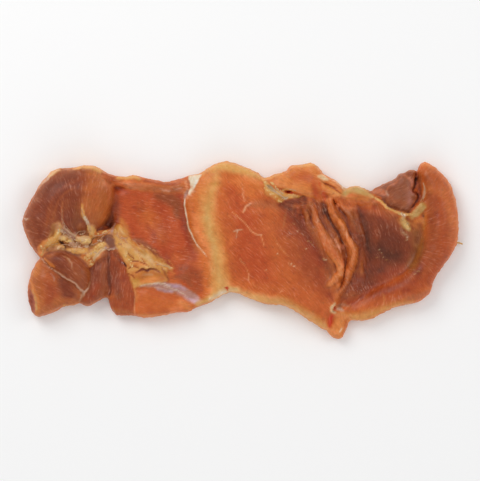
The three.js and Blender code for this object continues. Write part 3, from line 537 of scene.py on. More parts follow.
# %% Paint the lower muscles and the fat seam
patch(BROWN_MUSCLE_AND_SHADE, [(-77.6, -25), (-73.6, -19.6), (-72, -14), (-71.6, -8), (-68, -4), (-65, 0), (-62.8, 0),
                     (-62.6, -12), (-63, -21), (-67.6, -24.4), (-74.3, -28)], soft=1.2)
mark(DEEP_MUSCLE, [(-74, -23.6, 1.2), (-71, -22.6, 1.6), (-69, -17, 1.2)], soft=3)
patch(DEEP_MUSCLE, [(-62.6, 0), (-59, 0), (-55, -7), (-52, -14), (-50.6, -19), (-50.8, -32), (-61, -31),
                    (-63.6, -22)], soft=1.2)
mark(DARK_MUSCLE_AND_SHADE, [(-60.6, -6, 1.4), (-60, -14, 1.8), (-58, -22, 2)], soft=3, strength=0.8)
mark(TAN_MUSCLE, [(-61.4, -28.6, 1), (-56, -29.6, 1), (-52, -30.4, 0.8)], soft=2.5)
mark(TAN_MUSCLE, [(-77, -25.4, 0.8), (-73, -27, 1), (-68, -24.8, 1), (-64, -22, 0.8)], soft=2.4, strength=0.7)
# Painted shade in the crease between the two muscles.
mark(VALLEY_SHADE, [(-62.9, 0, 0.4), (-63, -8, 0.7), (-62.7, -15, 0.8), (-62.8, -21, 0.4)], soft=1.8, strength=0.8,
     raised=-0.5)
mark(VALLEY_SHADE, [(-60.4, -1, 0.5), (-59, -4, 0.6), (-57.4, -6.4, 0.5)], soft=1.4, strength=0.7)

patch(RED_MUSCLE, [(-60.6, 26), (-57, 30), (-46, 29), (-30, 28), (-26.6, 24), (-26, 14), (-21, 2), (-16, -6),
                   (-15, -16), (-18, -26), (-30, -14), (-33, -8), (-44, 1), (-52, 7), (-58, 14)], soft=2)
mark(DEEP_MUSCLE, [(-60, 26, 1.4), (-59.4, 20, 2), (-58.6, 16, 1.6)], soft=3)
mark(WARM_MUSCLE, [(-47, 20, 3), (-43, 14, 4), (-38, 7, 3)], soft=9, strength=0.8)
mark(BROWN_MUSCLE_AND_SHADE, [(-40, 26.4, 1.6), (-34, 25, 3), (-30.4, 22, 2.6), (-30, 17, 1.6)], soft=4)
mark(RED_MUSCLE, [(-52, 22, 2), (-54, 12, 1.6), (-51, 8, 1)], soft=4, strength=0.7)
mark(ORANGE_FAT, [(-57.4, 15, 1), (-56.6, 12, 1.8), (-54.6, 8.6, 1.4)], soft=2.5, fatty=0.4)
mark(PURPLE_MUSCLE, [(-51, 5.4, 0.7), (-47.4, 4, 1.5), (-43, 0.4, 1.6), (-39.4, -3.6, 1), (-37, -5.4, 0.5)],
     soft=2.2, strength=0.85)
mark(DEEP_MUSCLE, [(-27.8, 22, 0.7), (-27, 14, 0.9), (-25, 8.4, 1), (-22.6, 3, 1), (-20, -1, 0.8)], soft=2.4)
mark(DEEP_MUSCLE, [(-28, -8.6, 2.6), (-23, -11, 3.6), (-19.6, -15, 2.6), (-21, -18.6, 2)], soft=5)
mark(MUSCLE, [(-34, -4, 2), (-26, -2, 2.6), (-20, -6, 2)], soft=5, strength=0.8)
mark(WARM_MUSCLE, [(-16.6, -4, 0.6), (-15.4, -10, 1.2), (-15.4, -16, 1.2), (-17.4, -22.6, 1.2)], soft=2.4)
mark(PURPLE_MUSCLE, [(-31, -12.6, 1), (-26.6, -13.6, 1.6), (-24, -16.4, 1)], soft=2.5, strength=0.6)

patch(FAT, [(-61, 8.6), (-59.4, 12.4), (-56.6, 11), (-54.2, 8), (-52, 5), (-48.6, 2.4), (-44, 0), (-40, -4),
            (-36, -7), (-31.6, -8.6), (-35, -10.4), (-36, -15.2), (-49.4, -17.6), (-50, -19.6),
            (-51.4, -17.6), (-54.2, -9), (-57, -3), (-60, 1.6)], soft=2, raised=0.2, fatty=1)
mark(ORANGE_FAT, [(-51.4, -11, 1.6), (-47, -11.8, 2.2), (-42, -12.2, 2.4), (-37, -12.4, 1.8)], soft=3,
     strength=0.8, fatty=0.5)
mark(ORANGE_MUSCLE, [(-47, -14.8, 1), (-42, -14.8, 1.2), (-37.6, -13.4, 1)], soft=2, strength=0.8, fatty=0.5)
mark(WARM_MUSCLE, [(-53.8, -6.6, 0.8), (-50.4, -6.6, 1.2), (-46.6, -6.4, 1)], soft=2, strength=0.6)
mark(PALE_FAT, [(-50, -1, 0.8), (-46, -2.4, 0.9), (-42.4, -5.4, 0.7)], soft=1.6, strength=0.7, raised=0.3)
mark(PALE_FAT, [(-58.6, 7.6, 1), (-56, 3.6, 1.2), (-53.4, 1.4, 1)], soft=2, strength=0.5, raised=0.2)
mark(PALE_FAT, [(-41.4, -5.9, 0.3), (-38.6, -6.6, 0.5), (-35.2, -7.6, 0.4), (-32, -8.6, 0.2)], soft=0.6)
strand_chance = np.random.default_rng(3)
for number in range(44):
    along, across = strand_chance.uniform(0, 1), strand_chance.uniform(-1, 1)
    x = -59.4 + 22 * along + across * (1.6 + 2.4 * along)
    y = 9.4 - 17 * along + across * (1.4 + 2.4 * along)
    bent = strand_chance.uniform(-0.8, 0.8, 2)
    mark((ORANGE_FAT, PALE_FAT, FAT, TANGLE)[number % 4], [(x, y, 0.1), (x + 1.2, y - 1.3 + bent[0], 0.25),
         (x + 2.6, y - 2.4 + bent[1], 0.2), (x + 4, y - 3.2, 0.1)], soft=0.6, strength=0.7, raised=0.12)
mark(DEEP_MUSCLE, [(-54, -0.8, 0.2), (-52.8, -2.6, 0.3), (-51.2, -4, 0.25)], soft=0.5, raised=-0.5)
mark(DEEP_MUSCLE, [(-52.6, -4.8, 0.2), (-49.6, -5, 0.3), (-46, -6.2, 0.25)], soft=0.5, raised=-0.5)
mark(DEEP_MUSCLE, [(-53.6, -8.2, 0.2), (-51.6, -7.2, 0.3), (-49.4, -8.4, 0.25)], soft=0.5, raised=-0.5)
mark(DEEP_MUSCLE, [(-47.4, -3.6, 0.15), (-45.6, -6.4, 0.25), (-44, -7.4, 0.2)], soft=0.5, raised=-0.4)
mark(DEEP_MUSCLE, [(-54, -10.6, 0.2), (-52, -11.6, 0.3), (-51, -12.8, 0.2)], soft=0.5, raised=-0.4)
mark(FILM, [(-59.6, 7.4, 0.15), (-57.4, 6.2, 0.2), (-54.4, 6.2, 0.15)], soft=0.5, strength=0.7)
mark(BROWN_MUSCLE_AND_SHADE, [(-50.2, -10.5, 0.2), (-48.4, -9.6, 0.5), (-46.4, -8.9, 0.45), (-45.2, -9.6, 0.7),
                    (-43.4, -8.8, 0.4), (-41, -9.2, 0.4), (-38.8, -10.2, 0.25)], soft=0.8, raised=-0.6)
mark(MEMBRANE, [(-46.6, -11.8, 0.4), (-44.4, -11.6, 0.8), (-42.4, -12, 0.4)], soft=1.2, strength=0.6,
     raised=0.2)
mark(BROWN_MUSCLE_AND_SHADE, [(-38, -8.2, 0.2), (-36.6, -10, 0.4), (-35.4, -12.4, 0.5), (-34.4, -14, 0.3)], soft=1.2,
     strength=0.8, raised=-0.4)
mark(ORANGE_FAT, [(-34.6, -9.2, 0.4), (-33, -10, 0.4), (-31.8, -11.2, 0.2)], soft=0.6)
# A hole in the seam, painted dark as shade.
mark(PIT_SHADE, [(-56.4, -6, 0.3), (-55.6, -6.8, 0.6), (-55, -7.6, 0.4)], soft=0.6, raised=-0.6)
mark(FILM, [(-57.2, -5.6, 0.3), (-56.6, -6.6, 0.2)], soft=0.4)

patch(MUSCLE, [(-50.8, -26), (-50, -18.8), (-48, -17.7), (-43, -18.2), (-36, -20.2), (-29.6, -22.8),
               (-25.4, -26), (-22.4, -28.4), (-25, -30.6), (-40, -33), (-51, -33)], soft=0.6, fatty=0.45)
mark(WARM_MUSCLE, [(-46, -24, 2), (-38, -25.6, 2.4), (-31, -27, 2)], soft=4, strength=0.6)
mark(ORANGE_MUSCLE, [(-28.6, -25.4, 1), (-25, -27.6, 1.6)], soft=3, strength=0.9)
mark(ORANGE_FAT, [(-50, -19.4, 0.6), (-50, -24, 0.5)], soft=1.6, strength=0.8)
mark(ORANGE_MUSCLE, [(-49, -31, 0.6), (-40, -31.2, 0.7), (-31, -29.6, 0.6)], soft=1.8)
mark(THREAD, [(-50.9, -31, 0.2), (-51, -25, 0.3), (-50.2, -19.6, 0.3)], soft=0.7, strength=0.7)
mark(FILM, [(-48, -17.2, 0.2), (-43, -16.8, 0.7), (-37.6, -17, 1.5), (-32, -17.8, 2.1), (-26.6, -20, 2.1),
            (-22.6, -22.8, 2), (-19.6, -25.2, 1.2)], soft=1.8, strength=0.8)
mark(VEIL, [(-36, -16.4, 0.4), (-31, -16.8, 0.9), (-27, -18.6, 0.9)], soft=2, strength=0.7)
mark(VEIL, [(-40, -18.4, 0.4), (-36.6, -19.2, 0.9), (-33, -19.6, 0.8)], soft=1.6, strength=0.9)
mark(VEIL, [(-30, -21, 0.5), (-25.6, -23.2, 0.9), (-21.6, -25, 0.9)], soft=2, strength=0.45)
mark(CREAM, [(-47.6, -16.8, 0.1), (-43, -16, 0.25), (-38, -16, 0.3), (-33.6, -17, 0.2)], soft=0.7,
     strength=0.8, raised=0.1)
mark(CREAM, [(-38, -17, 0.1), (-33, -18.2, 0.25), (-29, -20.2, 0.25), (-25.6, -22.8, 0.1)], soft=0.7,
     strength=0.6)
mark(CREAM, [(-41, -17.6, 0.1), (-36.6, -18.8, 0.2), (-32.4, -19.6, 0.1)], soft=0.7, strength=0.5)
told("the lower muscles")

# %% [markdown]
# ## The middle sheet's top edge and the yellow strip
# The sheet's upper edge is torn and lumpy. At the right it slips under the broad muscle, whose edge is a
# thin pale line, and beside that line the yellow strip of fat runs from edge to edge.

# %% Paint the sheet's edge and the strip
mark(TAN_MUSCLE, [(-55, 31, 1), (-48, 30.6, 1.6), (-40, 29.6, 1.6), (-33, 29.6, 1.8), (-28.6, 30.4, 1.2)],
     soft=2.4, strength=0.9)
mark(PINK_MUSCLE, [(-42, 29.6, 0.6), (-36, 29, 1), (-30, 29, 1.2), (-27, 28, 0.6)], soft=2.4, strength=0.8)
mark(MEMBRANE, [(-39, 29.8, 0.1), (-36.4, 28.8, 0.3), (-33.6, 28.6, 0.1)], soft=0.9, strength=0.5,
     raised=0.15)
mark(MEMBRANE, [(-33, 30.4, 0.1), (-31, 29.4, 0.3), (-28.6, 29.6, 0.1)], soft=0.9, strength=0.5, raised=0.15)
mark(FAT, [(-59, 34.6, 0.5), (-55, 34.8, 1), (-51.4, 35.4, 1.2), (-48.6, 34.4, 0.6)], soft=1.4, raised=0.3,
     fatty=0.8)
mark(DEEP_MUSCLE, [(-46, 33.6, 0.7), (-40, 32.8, 0.8), (-34, 31.8, 0.8), (-29.6, 32.6, 0.8)], soft=1.8)
mark(PINK_MUSCLE, [(-31, 33.6, 0.4), (-28, 34, 0.8), (-26, 33, 0.8)], soft=1.8, strength=0.8)
mark(ORANGE_MUSCLE, [(-16, 33, 4), (-18.4, 24, 5), (-17.4, 15, 6), (-15.6, 6, 6), (-13, -3, 5), (-12, -12, 5),
                     (-9, -18, 5)], soft=8)
mark(FAT, [(-11.4, 37, 1), (-12.6, 31, 1.8), (-15, 25, 2.2), (-15.6, 18, 2.6), (-14.6, 9, 2.8), (-12, 1, 2.8),
           (-10.6, -8, 3), (-9.8, -15, 3.6), (-9, -19.6, 3.6)], soft=7, fatty=0.7)
mark(OLIVE_FAT, [(-16, 21, 0.8), (-16, 14, 1), (-13.6, 4, 0.8), (-12.2, -3, 0.8), (-11.2, -11, 1)], soft=3.6,
     strength=0.5)
mark(WARM_MUSCLE, [(-21.6, 30, 1), (-22.9, 22, 1.6), (-22, 14, 2), (-19, 7, 1.8), (-16.6, 0, 1.6),
                   (-15.8, -8, 1.4), (-16, -15, 1.4)], soft=4.4, strength=0.75)
mark(FAT, [(-21, -26, 1), (-15.6, -23.6, 1.6), (-9, -20, 2.4), (-2, -19.4, 1.6)], soft=3, fatty=0.5)
mark(CREAM, [(-14.6, -23.4, 0.4), (-10, -20.8, 1), (-5.4, -19.6, 0.8), (-2, -20, 0.4)], soft=3, strength=0.85)
mark(BLOOD, [(-7.2, -18.2, 0.3), (-6.2, -18.3, 0.7), (-5.9, -19.2, 0.2)], soft=0.5, raised=-0.3)
mark(FAT, [(-18, 37.4, 0.8), (-12, 40.2, 2), (-6.4, 41, 3), (0, 38.9, 2.4), (5, 37.4, 2.2), (9, 35.6, 1.8)],
     soft=4, fatty=0.6)
mark(ORANGE_MUSCLE, [(4, 34, 1.2), (8, 31.6, 1.6), (10, 28, 1.4)], soft=3.5, strength=0.7)
patch(CREAM, [(-25.6, 37), (-23, 36.6), (-18.6, 36.8), (-19.6, 34.6), (-20.6, 32.4), (-22.2, 29.4),
              (-23.8, 26.8), (-25.2, 27), (-24, 30), (-24.6, 33)], soft=0.8, raised=0.3, fatty=0.6)
mark(THREAD, [(-23.6, 30.6, 0.4), (-22.6, 28, 0.5)], soft=1.4, strength=0.7)
mark(THREAD, [(-27, 27.4, 0.6), (-25.4, 25.4, 0.7)], soft=1.4, strength=0.7)
mark(THREAD, [(-26.4, 33.6, 0.6), (-25.8, 30, 0.7), (-26, 26.4, 0.7)], soft=2, strength=0.7)
mark(FILM, [(-25, 29, 0.3), (-26, 27, 0.8), (-27, 25, 0.5)], soft=0.9, strength=0.75)
mark(CREAM, [(-26.6, 24.6, 0.25), (-26.7, 21.4, 0.3), (-25.9, 17, 0.3), (-25.3, 12, 0.3), (-23.7, 8.6, 0.3),
             (-22.1, 5, 0.2), (-20.5, 2.2, 0.15), (-18.5, 0, 0.1), (-16.3, -3, 0.05)], soft=0.6, raised=0.25,
     ragged=0.3)
told("the sheet's edge")

# %% [markdown]
# ## The broad muscle
# It is smooth and orange-red, browner towards the folds, with long fibres, a few pale threads of membrane
# in them, and a yellow edge along the bottom.

# %% Paint the broad muscle
mark(RED_MUSCLE, [(-4, 30, 2.5), (0, 20, 4), (3, 8, 6), (6, -4, 8), (10, -14, 6)], soft=9)
mark(WARM_MUSCLE, [(-3, 34, 1.6), (4, 32, 2), (6, 28, 2)], soft=5)
mark(DEEP_MUSCLE, [(22, 12, 4), (28, 2, 6), (36, -10, 6), (41, -19, 3)], soft=10)
mark(MUSCLE, [(6, -17, 2.4), (16, -19, 2.6), (28, -23, 3), (38, -29, 3)], soft=5)
mark(PINK_MUSCLE, [(3, 21.4, 0.7), (8, 22.6, 1.4), (14, 22.2, 1.8), (19, 20.6, 2)], soft=2.6, strength=0.75)
mark(MUSCLE, [(12, 17, 1), (15, 15, 2), (19, 12, 2)], soft=5, strength=0.5)
mark(FAT, [(-4, -20, 1.2), (2, -21.6, 2), (8, -23.4, 2.3), (14, -24.8, 2.5), (20, -25.4, 2.5),
           (26, -28.2, 2.4), (32, -32, 2.4), (38, -35.6, 2.3), (42.5, -38.4, 1.8)], soft=4.4, strength=0.9,
     fatty=0.6)
mark(THREAD, [(-4, 18.6, 0.1), (-1, 16, 0.2), (2, 13.2, 0.2), (5, 9.8, 0.25), (7.4, 7.8, 0.3),
              (10, 7.3, 0.4)], soft=0.6, strength=0.85, raised=0.15, ragged=0.2)
mark(THREAD, [(9.6, 7.2, 0.3), (10.4, 4.4, 0.2), (11.6, 1.6, 0.1)], soft=0.6, strength=0.6)
mark(THREAD, [(1, 30, 0.2), (1.4, 26, 0.3), (1.6, 23.8, 0.2)], soft=0.8, strength=0.7)
mark(THREAD, [(4.6, 22.2, 0.3), (2.6, 21.2, 0.5), (2, 19.6, 0.6), (1.4, 18.2, 0.4)], soft=0.8, strength=0.8,
     raised=0.15)
mark(MEMBRANE, [(-3.2, 9, 0.3), (-1.6, 9.9, 0.4), (0.4, 10.4, 0.3)], soft=0.7, strength=0.75)
mark(MEMBRANE, [(-1.7, 9.6, 0.3), (-2.1, 6.4, 0.15)], soft=0.7, strength=0.7)
mark(THREAD, [(-5.6, 17, 0.3), (-4, 15.8, 0.3)], soft=0.7, strength=0.5)
mark(THREAD, [(0.2, -4, 0.4), (1.6, -6.8, 0.1), (3.6, -10.4, 0.2), (3.8, -14, 0.4)], soft=0.6, strength=0.6)
mark(THREAD, [(16, 6, 0.1), (20, 0.6, 0.2), (23, -2.6, 0.1)], soft=0.7, strength=0.5)
mark(THREAD, [(6, -16, 0.1), (8.6, -18.2, 0.2), (10, -18.4, 0.1)], soft=0.6, strength=0.5)
mark(THREAD, [(19, -20.2, 0.3), (19.8, -19.4, 0.3)], soft=0.6, strength=0.6)
told("the broad muscle")

# %% [markdown]
# ## The top flap, the clods and the rolls
# Above the broad muscle a thick flap is folded over a small deep pocket, with yellow clods and a grey end of
# tendon in front of it. Beside it the edge lies doubled in two rolls.

# %% Paint the flap, the clods and the rolls
patch(ORANGE_MUSCLE, [(11, 36), (15, 37.4), (22, 39), (23, 42), (35, 43.4), (38, 40.6), (41, 36), (41, 31),
                      (37, 25.6), (33, 25.6), (28, 28.2), (22, 30), (15, 31.4)], soft=1)
mark(MUSCLE, [(25, 35.4, 1), (30, 35.4, 2.6), (34.6, 33.6, 2.6), (38, 32, 1)], soft=5)
mark(FAT, [(24, 40.8, 0.7), (29, 41, 0.8), (35, 41.6, 0.9), (37.6, 39, 0.6)], soft=1.8, fatty=0.4)
mark(FAT, [(11.4, 34.4, 0.8), (15, 36, 0.9), (20, 37.4, 0.7)], soft=1.4, fatty=0.8)
mark(ORANGE_FAT, [(12, 32.4, 0.5), (13.6, 29, 0.6), (17, 27, 0.6)], soft=1, strength=0.7)
# A painted highlight along the lip's edge.
mark(ORANGE_MUSCLE, [(17, 31.4, 0.4), (22, 30.4, 0.6), (27, 28.8, 0.7), (32, 26.4, 0.5)], soft=0.9)
mark(RED_MUSCLE, [(35, 31, 1.2), (36, 28, 1.6), (37, 25.4, 1)], soft=2.6)
mark(BLOOD, [(37.6, 32.2, 0.3), (38.4, 29.4, 0.5), (40, 26.4, 0.6), (40.8, 24.4, 0.4)], soft=1.6,
     strength=0.4)
patch(FAT, [(10.8, 34.2), (12.4, 33.4), (14, 31.2), (17, 29.8), (19.6, 28.6), (22, 27.2), (25, 27),
            (29.4, 26.4), (28, 25.4), (24.4, 25), (21.4, 24.8), (19.4, 22.8), (16.8, 24), (14.6, 25.8),
            (12, 26.6), (11.4, 30)], soft=1.4, raised=0.3, fatty=1)
mark(ORANGE_FAT, [(12.4, 27.4, 0.7), (15, 26.6, 0.7), (17.4, 24.6, 0.6)], soft=1, strength=0.8)
# A grey painted shadow beside the tendon's end.
mark(STAIN_AND_SHADOW, [(12.6, 30.8, 0.4), (14.6, 30.2, 0.7), (16.4, 29, 0.5)], soft=0.8, strength=0.8)
mark(CREAM, [(16, 29, 0.3), (17.8, 27.6, 0.4), (19.6, 26, 0.35), (21.6, 24.8, 0.5), (22.4, 25.4, 0.3)],
     soft=0.8, strength=0.7, raised=0.3)
mark(FAT, [(20, 29, 0.4), (22, 29.6, 0.35), (25.4, 28.9, 0.4)], soft=0.5, raised=0.2)
mark(FAT, [(24.8, 26.6, 0.5), (26.4, 26.5, 0.6), (28, 26.2, 0.3)], soft=0.5, raised=0.3, fatty=1)
patch(BLOOD, [(21.5, 28.4), (23, 28.9), (25.4, 28.4), (24.8, 27.5), (22.4, 27.5)], soft=0.5)
# Painted shade under the lip.
mark(VALLEY_SHADE, [(28.6, 26, 0.2), (30, 26.2, 0.35), (31.2, 25.6, 0.2)], soft=0.7, strength=0.7, raised=-0.3)
# Painted shade below the clods and the flap.
mark(DARK_MUSCLE_AND_SHADE, [(19.4, 22, 0.6), (23, 23, 1.4), (27, 23.6, 1.6), (31, 24.4, 1.2)], soft=2, strength=0.9)
mark(PURPLE_MUSCLE, [(22, 21, 1.6), (25, 19.6, 1.6)], soft=3)
# Painted shade in a dark gash and below the clods.
mark(BROWN_MUSCLE_AND_SHADE, [(30.8, 23, 1.1), (28.8, 19.6, 1.2), (27.8, 16.4, 0.8)], soft=2, strength=0.5)
mark(BROWN_MUSCLE_AND_SHADE, [(25.6, 16, 1.4), (29, 12, 2.2), (33, 7, 2)], soft=4)
mark(PINK_MUSCLE, [(22.4, 20, 0.4), (21.2, 15, 0.6), (20.6, 11, 0.3)], soft=1, strength=0.8)

patch(ORANGE_MUSCLE, [(36, 36.4), (39, 37.4), (44, 35.6), (48, 32.6), (51, 29), (48, 28), (44, 31),
                      (39.6, 33)], soft=0.7)
mark(PALE_FAT, [(37.6, 35.8, 0.7), (39.6, 35, 1), (41.4, 34.4, 0.5)], soft=0.9, raised=0.2, fatty=0.5)
mark(CREAM, [(44.6, 34, 0.3), (47.4, 32.2, 0.5), (49.4, 30, 0.6), (51.4, 28.6, 0.7)], soft=0.7, raised=0.15)
mark(ORANGE_MUSCLE, [(39.4, 31.2, 1), (42, 29.2, 2), (45.4, 27, 2.2), (48.4, 25.6, 1.6)], soft=1.4)
mark(FAT, [(41, 30.4, 0.4), (43.6, 28.8, 0.8), (46.4, 27, 0.6)], soft=1.8, strength=0.6)
mark(DEEP_MUSCLE, [(38.8, 33, 0.2), (41.6, 32, 0.3), (44.6, 30.2, 0.35), (47.2, 28, 0.35), (49, 26.2, 0.2)],
     soft=0.9, strength=0.8, raised=-0.3)
mark(MUSCLE, [(45, 25.4, 0.4), (46, 23.4, 0.9), (47.2, 21.6, 0.4)], soft=1.6, raised=1.4)
mark(MUSCLE, [(45.6, 24, 0.8), (50, 24.4, 1.6), (55, 23.4, 1.4)], soft=2.5)
told("the flap and the rolls")

# %% [markdown]
# ## The loose folds
# Thin meat lies here in long pleats. Their crests are rounded and paler, partly as painted highlight, and the
# valleys between them are painted dark as shade.

# %% Paint the folds
patch(BROWN_MUSCLE_AND_SHADE, [(32, 23), (37, 24), (42, 23), (47, 18), (52, 14), (55, 8), (57, 0), (55, -8), (52, -16),
                     (48, -20), (43, -17), (40, -6), (35, 5), (31, 14)], soft=4)
mark(TAN_MUSCLE, [(33, 22, 1.6), (34, 17, 2.2), (36, 11, 3.2), (39, 5, 3.8), (42.4, -0.6, 3.6), (46, -6, 3),
                  (47, -10.6, 2.6), (45, -14, 2.2), (42.4, -16, 1.6)], soft=3, raised=0.6)
mark(DEEP_MUSCLE, [(29.6, 18, 0.6), (30.6, 12, 0.8), (33.4, 6.4, 0.9), (37, 0.6, 0.9), (41, -5, 0.7)], soft=3,
     strength=0.5)
mark(TAN_MUSCLE, [(31.6, 19, 1.2), (33, 13, 1.8), (36, 7, 2.2), (39.8, 1, 2.2), (43.6, -4.6, 1.8)], soft=2.6,
     strength=0.8, raised=0.8)
mark(MUSCLE, [(35.4, 21, 0.7), (36.2, 16, 0.9), (37.8, 11, 1), (40, 5.4, 1.3), (43, 0.6, 1.6),
              (46.6, -4.6, 1.6), (48.4, -8.6, 1.2), (46.6, -12.6, 1.6), (43, -15.6, 1.4)], soft=2.2,
     raised=0.3)
mark(ORANGE_MUSCLE, [(42.6, -0.4, 0.3), (46, -5.6, 1), (48, -9, 0.9), (46, -13.2, 1.2), (43, -15.6, 0.9)],
     soft=1.6, strength=0.7)
mark(MUSCLE, [(46, 22.6, 2), (51, 21.4, 3), (57, 20.6, 2.4)], soft=4, strength=0.8)
# Painted shade in the valleys between the pleats.
mark(VALLEY_SHADE, [(39.2, 23, 0.5), (40.2, 19, 0.8), (41.2, 15.6, 0.5)], soft=1.8)
mark(TAN_MUSCLE, [(40.6, 17, 0.2), (41.8, 14, 0.8), (44, 10.4, 1), (46.4, 6.4, 1), (48, 2.6, 0.6)], soft=1.4,
     strength=0.8, raised=0.8)
mark(BROWN_MUSCLE_AND_SHADE, [(42.6, 20, 0.6), (44.4, 15.4, 0.8), (47, 10.6, 0.9), (49, 6, 0.9), (50.2, 1, 1),
                    (51.2, -4, 1), (51, -9, 0.8), (50.4, -13.4, 0.6)], soft=1.6, raised=0.7)
mark(TAN_MUSCLE, [(42.8, 24.4, 1.4), (43.8, 20, 1.6), (46.4, 15.4, 1.8), (49.4, 10.8, 1.7), (50.8, 6.4, 1.7),
                  (53.6, 1.6, 1.9), (54.2, -3.6, 1.9), (52.4, -9, 1.5), (51, -15, 1.2)], soft=2, raised=0.5)
mark(DEEP_MUSCLE, [(50.4, -3, 0.6), (50.6, -8, 0.6), (49.8, -13, 0.5)], soft=1.6, strength=0.8)
mark(WARM_MUSCLE, [(49.4, -13.6, 0.6), (47.4, -16.4, 1.2), (44.4, -17.6, 1)], soft=2.4, strength=0.9,
     raised=0.4)
mark(WARM_MUSCLE, [(42.7, 24.6, 0.6), (43.4, 21, 1), (45.2, 17.4, 0.5), (46.6, 15.2, 1.2), (48.8, 12, 0.6),
                   (49.9, 9.4, 1.1), (50.6, 7, 0.5), (52.4, 3.8, 1.2), (54.7, 0, 1.5), (54.6, -3.6, 0.9),
                   (52.9, -7.4, 0.7), (52, -10, 1), (51.2, -14, 0.5), (49.8, -17, 0.9), (47.6, -20.6, 0.5),
                   (46, -23.4, 0.8), (45.4, -25.6, 0.4)], soft=1.2)
mark(ORANGE_MUSCLE, [(45.2, 17.4, 0.3), (48.4, 12.4, 0.5), (50, 9, 0.3), (52.4, 4, 0.4), (54.9, 0, 0.5)],
     soft=1, strength=0.6)
mark(SHADE, [(41.4, 19.6, 0.3), (42.6, 16, 0.5), (44.6, 12, 0.6), (47, 7.6, 0.6), (49.4, 3.4, 0.4)], soft=1.8,
     strength=0.75)
mark(BROWN_MUSCLE_AND_SHADE, [(48.4, 16.6, 0.3), (50.6, 13, 0.5), (52.4, 9.4, 0.6), (53.8, 5.6, 0.5)], soft=2,
     strength=0.7)
mark(BROWN_MUSCLE_AND_SHADE, [(45, 19, 0.2), (46.6, 16, 0.3), (48.6, 14.6, 0.2)], soft=0.8, raised=-0.2)
mark(THREAD, [(49.9, 9.6, 0.2), (50.4, 7.8, 0.3), (51.2, 6.2, 0.2)], soft=0.7, strength=0.8, raised=0.15)
mark(BROWN_MUSCLE_AND_SHADE, [(29.4, 22.4, 0.5), (29, 19, 0.6), (28.2, 16, 0.4)], soft=1.8, strength=0.6, raised=-0.1)
mark(TAN_MUSCLE, [(32.2, 21.4, 0.6), (31.8, 18, 0.8), (32.2, 14.6, 0.7), (33.4, 11, 0.5)], soft=1.6,
     raised=0.4)
mark(BROWN_MUSCLE_AND_SHADE, [(33.8, 21, 0.4), (33.9, 16, 0.5), (35, 11, 0.4)], soft=1.4, strength=0.7, raised=-0.2)
mark(TAN_MUSCLE, [(25.8, 21.6, 0.5), (25, 18.6, 0.7), (25, 15.4, 0.4)], soft=1.6, strength=0.8, raised=0.3)
mark(THREAD, [(38.8, 8.4, 0.2), (40.6, 4.4, 0.3), (43.4, 0.4, 0.2)], soft=1, strength=0.45)
mark(THREAD, [(45.4, 5.6, 0.2), (46.8, 2.4, 0.4), (47.6, -1, 0.3)], soft=0.8, strength=0.6, raised=0.2)
mark(THREAD, [(36.6, 16.6, 0.1), (37, 14.4, 0.3), (37.4, 12.4, 0.1)], soft=0.7, strength=0.6)
mark(TAN_MUSCLE, [(46.6, 23.6, 0.6), (49.6, 20.2, 0.8), (52.6, 16.4, 0.8), (55.2, 12.6, 0.6), (57.4, 8, 0.4)],
     soft=1.4, raised=0.4)
mark(THREAD, [(49.4, 19.6, 0.1), (52.2, 16, 0.25), (54.6, 12.4, 0.3), (56.8, 8.8, 0.1)], soft=0.7,
     strength=0.6)
mark(BROWN_MUSCLE_AND_SHADE, [(47.6, 19.4, 0.4), (50.4, 15.6, 0.5), (53, 11, 0.5), (54.4, 8, 0.3)], soft=1.4,
     raised=-0.2)
mark(PINK_MUSCLE, [(52.6, 12, 0.4), (55, 7, 0.5), (57, 1, 0.5), (57.4, -5, 0.5), (56, -10, 0.4)], soft=1.4,
     strength=0.6, raised=0.3)
mark(FILM, [(56.6, -7, 0.3), (55.2, -11, 0.6), (53.4, -15, 0.5), (51.4, -19, 0.3)], soft=1.6, strength=0.5)
told("the folds")

# %% [markdown]
# ## The bowl and its rim
# The bowl is brown and wet. Its deep middle and the furrow down it are painted darker as shade, and its
# white fibres and flecks are partly torn shreds and partly painted glints. Round it lies the thick rim,
# orange-brown, with a yellow edge below. In its top corner are the small inner fillet, a line of yellow fat
# and an olive stain, with painted shadow under the fillet's edge and in the gaps beside it.

# %% Paint the bowl, the rim and the inner fillet
patch(MUSCLE, [(52, -34), (46, -29), (53, -25), (64, -18), (73, -14.6), (80, -10.6), (84.6, -5), (87, 2),
               (88, 12), (88, 20), (86.6, 30), (85, 40), (88, 45), (96, 40), (106, 24), (107, 6), (96, -12),
               (94, -22), (84, -28), (62, -35)], soft=4)
mark(TAN_MUSCLE, [(89.4, 36, 1.6), (91, 27, 2.2), (91.4, 17, 2.4), (92.4, 6, 2.6), (92, -2, 2.4), (87, -9, 2),
                  (80, -13.4, 1.6)], soft=6, strength=0.8)
mark(DEEP_MUSCLE, [(88.6, 4, 1), (88.4, -3, 1.4), (84.6, -9.6, 1.4), (78, -13, 1.2)], soft=4, strength=0.6)
mark(DEEP_MUSCLE, [(91, 10, 0.6), (92.6, 2, 1), (91.6, -4, 1), (88, -8, 0.8)], soft=4, strength=0.4)
mark(TAN_MUSCLE, [(92, 38, 1.6), (97, 29, 2), (99.6, 18, 2), (100.4, 8, 1.6)], soft=6, strength=0.4)
mark(ORANGE_MUSCLE, [(86.4, 41.6, 0.5), (90, 42, 1.2), (95, 39, 1.2), (100, 33.6, 1), (103.4, 24, 0.8),
                     (104.6, 14, 0.6), (104, 5, 0.5)], soft=3.4, strength=0.8)
mark(MUSCLE, [(56, -28, 1.6), (64, -24.6, 2), (72, -22.6, 2), (80, -19.6, 2), (88, -15, 2)], soft=5)
mark(DEEP_MUSCLE, [(58, -22.4, 1.2), (66, -19.8, 1.8), (73, -17.8, 1.8), (80, -15, 1.2)], soft=5,
     strength=0.8)
